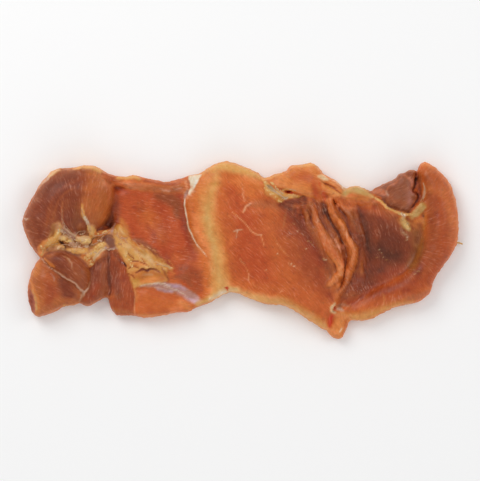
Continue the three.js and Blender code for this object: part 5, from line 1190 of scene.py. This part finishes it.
fan_grain([(50, 25), (60, 24), (62, 8), (64, -8), (74, -12), (84, -8), (88, 4), (88, 18), (86, 44), (96, 46),
           (110, 26), (110, 0), (100, -24), (84, -32), (54, -36), (48, -24), (55, -10), (57, 6)], (72, 4),
          20, 9)
straight_grain([(50, 25), (60, 25), (76, 17), (87, 14), (86, -4), (78, -10), (64, -18), (50, -22), (56, -8),
                (57, 6)], -68, 10)
straight_grain([(61, 28), (76, 40), (86, 41), (83, 20), (77, 18), (69, 21)], 35, 11)
straight_grain([(40, -30), (54, -30), (54, -46), (40, -46)], -70, 12)
print("the fibres run in", len(np.unique(grain[:, 2])), "ways")

# %% [markdown]
# ## Relief
# The marks have told how far each tissue stands up. To that the meat adds soft unevenness, fat adds small
# lumps, and muscle adds ridges along its fibres. The flat underside keeps its place.

# %% Raise the relief
PLEATED = [
    (20, 23), (30, 25), (42, 25), (56, 24), (64, 18), (62, 4), (62, -8), (58, -20), (48, -24), (44, -17),
    (38, 0), (29, 12), (21, 14),
]
FIBRE_SIZE = np.array([7.0, 1.9, 1.0])
PLEAT_SIZE = np.array([9.0, 1.25, 1.0])
LIFT_SHARE, UNEVENNESS = 0.8, 0.2
FIBRE_RIDGE, FIBRE_LUMP = 0.13, 0.06
PLEAT_RIDGE, PLEAT_LUMP = 0.5, 0.1
FAT_LUMP, FAT_GRAIN = 0.42, 0.2
WALL_LUMP, WALL_GRAIN = 0.5, 0.3
pleated = smoothly(depth_in_patch(PLEATED) / 4 + 0.5)
ridges = ripple(grain / FIBRE_SIZE, 1.0, 5)
pleats = ripple(grain / PLEAT_SIZE, 1.0, 9)
uneven = ripple(spots, 5.0, 6)
lumps = ripple(spots, 2.1, 7)
grains = ripple(spots, 1.3, 8)
height = LIFT_SHARE * lift + UNEVENNESS * uneven
height += (1 - fat) * (FIBRE_RIDGE * ridges + FIBRE_LUMP * lumps)
height += pleated * (PLEAT_RIDGE * pleats + PLEAT_LUMP * lumps)
height += fat * (FAT_LUMP * np.abs(lumps) + FAT_GRAIN * grains)
height += wall * (WALL_LUMP * lumps + WALL_GRAIN * grains)
free = smoothly(spots[:, 2] / 3.0) * smoothly((normals[:, 2] + 0.4) / 0.8)
spots = spots + (height * free)[:, None] * normals
meat.data.vertices.foreach_set("co", (spots * MM).ravel())
meat.data.update()
print("relief from", round(height.min(), 2), "to", round(height.max(), 2), "mm")

# %% [markdown]
# ## Painted shade in the creases
# Creases are painted darker as painted shade, and crests a little paler as painted highlight.
# A smoothed copy of the skin lies above its creases and below its crests, so the gap between the two tells
# how deep each point lies. The steep walls are painted a little paler and more orange, as a painted glow of
# thin edges. They also have plainer colours than the cut side above them, so they take a blurred copy of its
# colours.

# %% Darken the creases
CREASE_ROUNDS = 24
BLUR_ROUNDS = 60
FULL_DEPTH = 0.9
CREASE_SHADE_LOSS = (0.30, 0.42, 0.46)
CREST_HIGHLIGHT_GAIN = 0.06
SIDE_GLOW_GAIN = 0.1
SIDE_GLOW_WARMTH = 0.15
WALL_WARMTH = 0.4
WALL_PLAINNESS = 0.85
ends = np.empty(2 * len(meat.data.edges), dtype=int)
meat.data.edges.foreach_get("vertices", ends)
near, far = ends.reshape(-1, 2).T
neighbours = np.bincount(near, minlength=count) + np.bincount(far, minlength=count)


def averaged(values, rounds):
    """Each value averaged with its neighbours' again and again."""
    for _ in range(rounds):
        total = np.bincount(near, values[far], count) + np.bincount(far, values[near], count)
        values = 0.5 * values + 0.5 * total / neighbours
    return values


smoothed = np.stack([averaged(axis, CREASE_ROUNDS) for axis in spots.T], axis=1)
sunk = ((smoothed - spots) * normals).sum(axis=1)
crease_shade = smoothly(sunk / FULL_DEPTH) * smoothly((normals[:, 2] + 0.2) / 0.5)
crest_highlight = smoothly(-sunk / FULL_DEPTH)
side = smoothly((0.8 - normals[:, 2]) / 0.7) * smoothly(spots[:, 2] / 2)
# Painted shade in the creases, and a painted highlight on the crests.
colour = colour * (1 - np.outer(crease_shade, CREASE_SHADE_LOSS))
colour = colour + crest_highlight[:, None] * (CREST_HIGHLIGHT_GAIN * (255 - colour))
# Painted glow: the steep sides are made paler and more orange, as thin edges lit through.
colour = colour * (1 + SIDE_GLOW_GAIN * side)[:, None]
colour = colour + (SIDE_GLOW_WARMTH * side)[:, None] * (np.array(ORANGE_MUSCLE) - colour)
blurred = np.stack([averaged(channel, BLUR_ROUNDS) for channel in colour.T], axis=1)
plain = (1 - WALL_WARMTH) * blurred + WALL_WARMTH * np.array(ORANGE_MUSCLE)
colour = colour + (WALL_PLAINNESS * wall)[:, None] * (plain - colour)
fat = np.maximum(fat, 0.5 * wall)
print("creases hold", round(100 * crease_shade.mean(), 1), "% of the surface")

# %% [markdown]
# ## The skin's attributes
# The colours were chosen as the eye sees them, so they are turned into light before they are stored.

# %% Store the attributes
def stored(name, kind, values):
    """Keeps values on the meat's points under a name."""
    layer = meat.data.attributes.new(name, kind, "POINT")
    slot_name = "color" if kind == "FLOAT_COLOR" else "vector" if kind == "FLOAT_VECTOR" else "value"
    layer.data.foreach_set(slot_name, np.ascontiguousarray(values, dtype=float).ravel())


BRIGHTNESS = 1.02
SHEEN = np.array([0.016, 0.02, 0.032])
MIDDLE = np.array([172, 96, 60])
CONTRAST = np.array([1.08, 1.07, 1.3])
seen = np.clip((MIDDLE + CONTRAST * (colour - MIDDLE)) / 255, 0, 1)
light = np.where(seen > 0.04045, ((seen + 0.055) / 1.055) ** 2.4, seen / 12.92)
own = light * BRIGHTNESS - np.minimum(SHEEN, light * (0.3, 0.34, 0.6))
stored("tissue", "FLOAT_COLOR", np.hstack([np.clip(own, 0, 1), np.ones((count, 1))]))
stored("grain", "FLOAT_VECTOR", grain)
stored("fat", "FLOAT", fat)
stored("torn", "FLOAT", torn)
print("attributes:", [layer.name for layer in meat.data.attributes if not layer.is_internal])

# %% [markdown]
# ## Shader arithmetic
# A wire stands for what a shader node gives out. It can be added and multiplied like a number.

# %% Wires
class Wire:
    """What a shader node gives out."""

    def __init__(self, socket):
        self.socket = socket

    def maths(self, operation, first, second):
        return add_node(self.socket.id_data, "Math", {0: first, 1: second}, operation=operation)

    def __add__(self, other):
        return self.maths("ADD", self, other)

    def __radd__(self, other):
        return self.maths("ADD", other, self)

    def __sub__(self, other):
        return self.maths("SUBTRACT", self, other)

    def __rsub__(self, other):
        return self.maths("SUBTRACT", other, self)

    def __mul__(self, other):
        return self.maths("MULTIPLY", self, other)

    def __rmul__(self, other):
        return self.maths("MULTIPLY", other, self)


def add_node(tree, kind, values=None, output=0, **settings):
    """Adds a shader node with its settings, and its inputs set or wired."""
    node = tree.nodes.new("ShaderNode" + kind)
    for name, value in settings.items():
        setattr(node, name, value)
    for key, value in (values or {}).items():
        if isinstance(value, Wire):
            tree.links.new(value.socket, node.inputs[key])
        else:
            node.inputs[key].default_value = value
    return Wire(node.outputs[output])


def between(value, low, high, start=0.0, end=1.0):
    """Maps a wire from low and high to start and end, smoothly and without going past them."""
    tree = value.socket.id_data
    return add_node(tree, "MapRange", {"Value": value, "From Min": low, "From Max": high, "To Min": start,
                                       "To Max": end}, interpolation_type="SMOOTHSTEP")


MIX_A, MIX_B, MIX_RESULT = 6, 7, 2


def mixed(share, first, second, blend="MIX"):
    """Blends two colours."""
    return add_node(share.socket.id_data, "Mix", {0: share, MIX_A: first, MIX_B: second}, MIX_RESULT,
                    data_type="RGBA", blend_type=blend)


def cloud(place, scale, detail, roughness=0.5):
    """Noise from 0 to 1 over a place."""
    values = {"Vector": place, "Scale": scale, "Detail": detail, "Roughness": roughness}
    return add_node(place.socket.id_data, "TexNoise", values)


def set_inputs(shader, values):
    """Sets inputs of a shader by name."""
    for name, value in values.items():
        shader.inputs[name].default_value = value


print("wires ready")

# %% [markdown]
# ## Meat
# Raw meat in a thin oily marinade: fibres show as fine streaks along the grain, lighter and darker by turns,
# and the wet film makes small glints. Fat has no fibres, only soft mottling.

# %% The meat's material
def plain_material(name):
    """A new material, its node tree and its main shader."""
    material = bpy.data.materials.new(name)
    material.use_nodes = True
    return material, material.node_tree, material.node_tree.nodes["Principled BSDF"]


meat_material, tree, shader = plain_material("marinated_meat")
tissue = add_node(tree, "Attribute", output="Color", attribute_name="tissue")
fatness = add_node(tree, "Attribute", output="Fac", attribute_name="fat")
along = add_node(tree, "Attribute", output="Vector", attribute_name="grain")
place = add_node(tree, "TexCoord", output="Object")
strand_place = add_node(tree, "VectorMath", {0: along, 1: (0.2, 1.3, 1)}, operation="MULTIPLY")
fine_place = add_node(tree, "VectorMath", {0: along, 1: (0.42, 2.6, 1)}, operation="MULTIPLY")
strands = cloud(strand_place, 1.0, 3.0, 0.6)
threads = cloud(fine_place, 1.0, 2.0, 0.6)
mottle = cloud(place, 420.0, 4.0, 0.65)
patches = cloud(place, 90.0, 3.0, 0.6)
muscle = 1.0 - fatness
blush = cloud(place, 230.0, 5.0, 0.7)
fibre = (strands - 0.5) * muscle + (threads - 0.5) * 0.7 * muscle + (mottle - 0.5) * 0.5
tone = 1.0 + fibre * 0.5 + (patches - 0.5) * 0.3
toned = add_node(tree, "VectorMath", {0: tissue, "Scale": tone}, operation="SCALE")
toned = mixed(between(blush, 0.46, 0.66, 0.0, 0.75), toned, (1.08, 1.2, 1.4, 1), "MULTIPLY")
toned = mixed(between(blush, 0.54, 0.34, 0.0, 0.75), toned, (0.94, 0.86, 0.78, 1), "MULTIPLY")
bright_fibre = between(threads, 0.58, 0.8, 0.0, 0.2) * muscle
tinted = mixed(bright_fibre, toned, (0.75, 0.42, 0.27, 1))
pale_strand = between(strands, 0.52, 0.76, 0.0, 0.4) * muscle * between(patches, 0.42, 0.62, 0.1, 1.0)
tinted = mixed(pale_strand, tinted, (0.68, 0.34, 0.22, 1))
# Pale streaks along the fibres: shreds of membrane, and painted glints of the wet film.
shred_and_glint_mask = add_node(tree, "Attribute", output="Fac", attribute_name="torn")
shred_and_glint_place = add_node(tree, "VectorMath", {0: along, 1: (0.42, 2.4, 1)}, operation="MULTIPLY")
shred_and_glint_streaks = cloud(shred_and_glint_place, 1.0, 3.0, 0.55)
shred_and_glint_share = between(shred_and_glint_streaks + shred_and_glint_mask * 0.1, 0.6, 0.78, 0.0, 0.4) * shred_and_glint_mask * between(patches, 0.36, 0.6)
tinted = mixed(shred_and_glint_share, tinted, (0.72, 0.50, 0.40, 1))
dark_speck = between(mottle, 0.30, 0.42, 0.22, 0.0) * (1.0 - fatness * 0.8)
finished = mixed(dark_speck, tinted, (0.16, 0.05, 0.022, 1))
tree.links.new(finished.socket, shader.inputs["Base Color"])
gloss = 0.46 + (mottle - 0.5) * 0.4 + (patches - 0.5) * 0.3
tree.links.new(gloss.socket, shader.inputs["Roughness"])
relief = (strands - 0.5) * muscle * 0.5 + (threads - 0.5) * muscle * 0.35 + (mottle - 0.5) * 0.45
bump = add_node(tree, "Bump", {"Height": relief, "Distance": 0.5 * MM, "Strength": 0.75}, output="Normal")
tree.links.new(bump.socket, shader.inputs["Normal"])
set_inputs(shader, {"Subsurface Weight": 0.12, "Subsurface Radius": (1.0, 0.4, 0.25),
                    "Subsurface Scale": 1.2 * MM, "Coat Weight": 0.08, "Coat Roughness": 0.2,
                    "Specular IOR Level": 0.28})
meat.data.materials.append(meat_material)
print("the meat's material has", len(tree.nodes), "nodes")

# %% [markdown]
# ## Clods and threads that stand on the meat
# Where the bone was cut out and under the flap, fat comes away in small clods, and torn tendon and membrane
# leave threads. The clods are little balls strewn along paths, melted into one soft skin. The threads are
# thin tubes. Both find the meat's surface below them with a ray from above.

# %% Finding the surface
meat_tree = BVHTree.FromPolygons([Vector(spot) for spot in spots],
                                 [face.vertices for face in meat.data.polygons])
ABOVE = 60.0


def on_meat(x, y):
    """The point of the meat's surface at x, y in millimetres, or None beside the meat."""
    return meat_tree.ray_cast(Vector((x, y, ABOVE)), Vector((0, 0, -1)))[0]


print("the surface at the middle lies", round(on_meat(0, 0).z, 1), "mm up")

# %% [markdown]
# ## Clods of fat
# Balls are strewn along each line at random, with a seed, and crumbs round them. They are then melted
# together by a voxel Remesh, because fat doesn't come away as separate balls.

# %% Strew clods of fat
chance = np.random.default_rng(7)


def gather(bm, part):
    """Adds a small bmesh to a large one, and frees it."""
    mesh = bpy.data.meshes.new("part")
    part.to_mesh(mesh)
    part.free()
    bm.from_mesh(mesh)
    bpy.data.meshes.remove(mesh)


def strew(whole, stops, number, smallest, largest):
    """Puts balls of fat at random along a line of stops [x, y, half width]."""
    line = rounded(stops)
    bm = bmesh.new()
    for _ in range(number):
        place = chance.uniform(0, len(line) - 1.001)
        start = line[int(place)]
        end = line[int(place) + 1]
        x, y, half = start + (place % 1) * (end - start)
        aside = chance.normal(0, 0.5, 2) * half
        size = chance.uniform(smallest, largest)
        spot = on_meat(x + aside[0], y + aside[1])
        if spot is None:
            continue
        ball = bmesh.ops.create_icosphere(bm, subdivisions=2, radius=size * MM)["verts"]
        stretch = chance.uniform(0.7, 1.5)
        bmesh.ops.scale(bm, verts=ball, vec=(stretch, 1 / stretch, 0.75))
        turn = Matrix.Rotation(chance.uniform(0, math.pi), 3, "Z")
        bmesh.ops.rotate(bm, verts=ball, cent=(0, 0, 0), matrix=turn)
        bmesh.ops.translate(bm, verts=ball, vec=(spot - Vector((0, 0, 0.55 * size))) * MM)
    gather(whole, bm)


MELT_ROUNDS = 2
CLOD_VOXEL = 0.2 * MM


def melted(piece, voxel):
    """Melts a piece's balls together and evens its skin."""
    remesh(piece, voxel)
    bm = bmesh.new()
    bm.from_mesh(piece.data)
    for _ in range(MELT_ROUNDS):
        evened(bm, bm.verts)
    bm.to_mesh(piece.data)
    bm.free()
    shade_smooth(piece.data)


JOINT_CLODS = [
    ([(-95.4, -1, 0.8), (-94.4, 2, 1), (-91.6, 4.2, 1.2), (-88.6, 4.6, 1)], 26),
    ([(-88.8, 6.2, 0.8), (-87.4, 8.4, 0.7), (-86.6, 10.6, 0.3)], 12),
    ([(-86, 5.6, 0.7), (-83.4, 5, 0.8), (-80.6, 3.8, 0.7)], 12),
    ([(-86.6, 1.8, 0.5), (-84.6, 1.6, 0.5)], 6),
    ([(-82, 0.2, 0.4), (-79, 0, 0.5), (-75, 0.2, 0.6)], 12),
    ([(-78, 5.2, 0.7), (-75, 4.6, 1.1), (-72.4, 4.4, 0.9)], 18),
    ([(-73.6, 12.4, 0.5), (-71.6, 10, 0.8), (-71, 7.4, 0.8)], 16),
    ([(-75, -3, 0.7), (-73, -4, 0.9), (-71.6, -6.4, 0.6)], 12),
    ([(-72.4, -1.8, 0.7), (-70, 0, 0.9), (-67.6, 2.2, 0.9), (-65.8, 3.6, 0.5)], 20),
    ([(-60.4, 10, 0.7), (-58.4, 6, 1.2), (-56, 1, 1.4), (-53, -4, 1.4), (-51, -9, 1)], 26),
    ([(-70, 7.6, 0.3), (-66.6, 8.4, 0.3), (-63.4, 9.4, 0.3)], 6),
]
TANGLE_CLODS = [
    ([(-87, 10, 1), (-84, 8, 1.3), (-80.6, 5.6, 1.3), (-77.6, 3.4, 1)], 30),
    ([(-84, 3.6, 0.8), (-80, 2, 1), (-76, 1.8, 0.8), (-73, 2, 0.6)], 18),
    ([(-77.6, 7.6, 0.7), (-74.4, 8.6, 0.7)], 8),
    ([(-74, -1.8, 0.6), (-71.6, -1.4, 0.6), (-69.4, -0.8, 0.5)], 8),
    ([(-68.6, 5, 0.6), (-66.4, 4.6, 0.5)], 5),
    ([(-65, 1.2, 0.4), (-62, 0.6, 0.4), (-59.6, 1, 0.5)], 8),
]
CLUSTER_CLODS = [
    ([(11.6, 33, 0.6), (12.6, 30, 0.9), (14.6, 27.4, 0.9), (17, 25.2, 0.7)], 22),
    ([(14.6, 33, 0.6), (16.6, 30.6, 0.7), (19.4, 28.6, 0.6)], 12),
    ([(18, 24.2, 0.5), (19.6, 23.2, 0.5)], 5),
    ([(22.6, 26.2, 0.5), (25.4, 26.4, 0.7), (28.8, 26, 0.5)], 12),
]
ROOT_CLODS = [
    ([(63.4, 25.8, 0.3), (67, 23.8, 0.4), (69.6, 22, 0.6), (72, 19.8, 0.4)], 14),
    ([(73.6, 18.8, 0.4), (77, 17.8, 0.6), (80.4, 17.2, 0.6), (83, 17.4, 0.7), (86, 20, 1)], 24),
    ([(78.8, 14.2, 0.7), (79.6, 12.2, 0.7), (80.6, 10.2, 0.4)], 12),
    ([(12, 34.8, 0.4), (10.6, 35.6, 0.3)], 4),
]


def clod_piece(name, lines, smallest, largest):
    """One piece of melted clods along several lines, with many crumbs round the large clods."""
    bm = bmesh.new()
    for stops, number in lines:
        strew(bm, stops, number, smallest, largest)
        crumbs = [(x, y, 1.8 * half) for x, y, half in stops]
        strew(bm, crumbs, 2 * number, 0.5 * smallest, 0.8 * smallest)
    piece = new_piece(name, bm)
    melted(piece, CLOD_VOXEL)
    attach(piece, "root")
    return piece


fat_material, tree, shader = plain_material("fat")
place = add_node(tree, "TexCoord", output="Object")
soft_mottle = cloud(place, 320.0, 4.0, 0.6)
broad_mottle = cloud(place, 110.0, 2.0)
yellow = mixed(between(broad_mottle, 0.35, 0.65), (0.58, 0.28, 0.075, 1), (0.68, 0.40, 0.13, 1))
# The paler spots laid by noise are painted highlights on the fat's lumps.
fat_colour = mixed(between(soft_mottle, 0.55, 0.72), yellow, (0.80, 0.54, 0.25, 1))
stained = mixed(between(broad_mottle, 0.42, 0.3), fat_colour, (0.50, 0.20, 0.07, 1))
tree.links.new(stained.socket, shader.inputs["Base Color"])
bump = add_node(tree, "Bump", {"Height": soft_mottle, "Distance": 0.5 * MM, "Strength": 0.6}, output="Normal")
tree.links.new(bump.socket, shader.inputs["Normal"])
set_inputs(shader, {"Roughness": 0.36, "Subsurface Weight": 0.2, "Subsurface Radius": (1.0, 0.6, 0.3),
                    "Subsurface Scale": 1.0 * MM})

for name, lines, smallest, largest in (("joint_fat", JOINT_CLODS, 0.4, 0.85),
                                       ("cluster_fat", CLUSTER_CLODS, 0.35, 0.8),
                                       ("fillet_fat", ROOT_CLODS, 0.3, 0.7)):
    piece = clod_piece(name, lines, smallest, largest)
    piece.data.materials.append(fat_material)
    print(name, "has", len(piece.data.polygons), "faces")

# %% [markdown]
# ## Threads
# Each thread is a ring of six corners drawn out along its path, thin at both ends, and closed there.

# %% Draw the threads
THREAD_SUNK = 0.3
THREAD_WANDER = 0.1
THREAD_TIP = 0.4
THREAD_PARTS = 5
THREAD_SHARE = 0.62


def draw_thread(whole, stops, radius, level=None):
    """Draws a thin closed tube along stops [x, y], a little into the meat or at a level over the table."""
    line = rounded([(x, y, 0) for x, y in stops], THREAD_PARTS)
    centres = []
    for x, y, _ in line:
        aside = chance.normal(0, THREAD_WANDER, 2)
        spot = on_meat(x + aside[0], y + aside[1]) if level is None else Vector((x, y, level))
        centres.append(spot + Vector((0, 0, radius * (1 - 2 * THREAD_SUNK) + abs(chance.normal(0, 0.1)))))
    bm = bmesh.new()
    rings = bmesh.ops.create_circle(bm, segments=6, radius=radius * MM, cap_ends=True)["verts"]
    first = (centres[1] - centres[0]).normalized()
    bmesh.ops.rotate(bm, verts=rings, cent=(0, 0, 0), matrix=first.to_track_quat("Z", "Y").to_matrix())
    bmesh.ops.scale(bm, verts=rings, vec=[THREAD_TIP] * 3)
    bmesh.ops.translate(bm, verts=rings, vec=centres[0] * MM)
    cap = next(face for face in rings[0].link_faces)
    size = THREAD_TIP
    for place, (before, after) in enumerate(zip(centres, centres[1:])):
        moved = bmesh.ops.extrude_face_region(bm, geom=[cap])["geom"]
        if cap.is_valid and place:
            bmesh.ops.delete(bm, geom=[cap], context="FACES_ONLY")
        cap = next(item for item in moved if isinstance(item, bmesh.types.BMFace))
        verts = list(cap.verts)
        wanted = THREAD_TIP if place == len(centres) - 2 else chance.uniform(0.7, 1.1)
        bmesh.ops.translate(bm, verts=verts, vec=(after - before) * MM)
        middle = after * MM
        for vert in verts:
            vert.co = middle + (vert.co - middle) * (wanted / size)
        size = wanted
    gather(whole, bm)


THREADS = [
    ([(-72, 8), (-72.8, 11.6), (-74.2, 14.4), (-75.4, 18), (-76.2, 20.4)], 0.27),
    ([(-71.4, 9), (-72.4, 12.4), (-74.6, 16.2)], 0.2),
    ([(-78.6, 5.2), (-80.2, 8), (-83.4, 11.6), (-85.2, 15), (-85.4, 20)], 0.14),
    ([(-79.6, 4), (-82, 7), (-85, 9.6), (-87, 12)], 0.17),
    ([(-81, 3.2), (-80, 6), (-77.6, 8.8), (-74.4, 9.4)], 0.2),
    ([(-84.4, 7.4), (-81.6, 5.4), (-78.4, 2.6)], 0.25),
    ([(-80.6, 2.4), (-78, 3.4), (-76.6, 5.8)], 0.2),
    ([(-86, 3), (-83, 2.6), (-80, 1.6)], 0.2),
    ([(-72, 2.6), (-69.4, 3.4), (-66.8, 5.8), (-65.6, 7.4)], 0.22),
    ([(-70.4, 6.8), (-67, 7.6), (-63.8, 8.8), (-61.4, 11.4)], 0.26),
    ([(-66.4, 1.2), (-63, 0.6), (-60, 1.4), (-58.4, 3.6)], 0.22),
    ([(-71, -5.4), (-69, -2.2), (-66.4, 0.6)], 0.25),
    ([(-93, 0), (-90.6, 2.6), (-87.4, 3.4)], 0.2),
    ([(-57.4, 7), (-55.4, 5.2), (-53.8, 2.6)], 0.16),
    ([(-40.6, -6.6), (-37, -7.2), (-33.4, -8.6)], 0.22),
    ([(12.4, 31.4), (14.4, 29), (16.8, 27.8)], 0.3),
    ([(15.8, 29.4), (17.6, 27.6), (19.8, 26), (22, 25)], 0.42),
    ([(16.6, 30), (18.4, 28.4), (20.6, 26.8)], 0.35),
    ([(19.4, 24.4), (21, 25.6), (22.6, 25.4)], 0.3),
    ([(22.4, 28.8), (24.6, 29.2), (27, 28.4)], 0.22),
    ([(87.6, 32.4), (88.4, 29), (88, 25.6), (87, 23)], 0.22),
    ([(76.8, 18.4), (78.4, 16.4), (77.6, 14.4)], 0.3),
    ([(45.4, -25.8), (44, -27), (44, -28.8), (45.4, -29.4)], 0.16),
]
bm = bmesh.new()
for stops, radius in THREADS:
    draw_thread(bm, stops, THREAD_SHARE * radius)
bmesh.ops.recalc_face_normals(bm, faces=bm.faces)
threads_piece = new_piece("tendon_threads", bm)
tendon_material, tree, shader = plain_material("tendon")
set_inputs(shader, {"Base Color": (0.56, 0.34, 0.20, 1), "Roughness": 0.3, "Subsurface Weight": 0.2,
                    "Subsurface Scale": 0.8 * MM})
threads_piece.data.materials.append(tendon_material)
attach(threads_piece, "root")
tangle_piece = clod_piece("joint_membrane", TANGLE_CLODS, 0.3, 0.7)
tangle_piece.data.materials.append(tendon_material)
bm = bmesh.new()
draw_thread(bm, [(102.4, 4.2), (103.6, 4), (104.6, 3.8), (105.8, 3.5), (107, 3.1)], 0.5, level=1)
draw_thread(bm, [(102.4, 2.8), (103.6, 3.4), (104.8, 3.7), (105.6, 3.6)], 0.45, level=1.4)
bmesh.ops.recalc_face_normals(bm, faces=bm.faces)
shred_piece = new_piece("edge_shred", bm)
shred_piece.data.materials.append(fat_material)
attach(shred_piece, "root")
print("threads:", len(THREADS), "with", len(threads_piece.data.polygons), "faces")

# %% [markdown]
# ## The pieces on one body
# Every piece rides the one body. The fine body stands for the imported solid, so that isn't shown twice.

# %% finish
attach(meat, "root")
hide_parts("chicken_thigh")
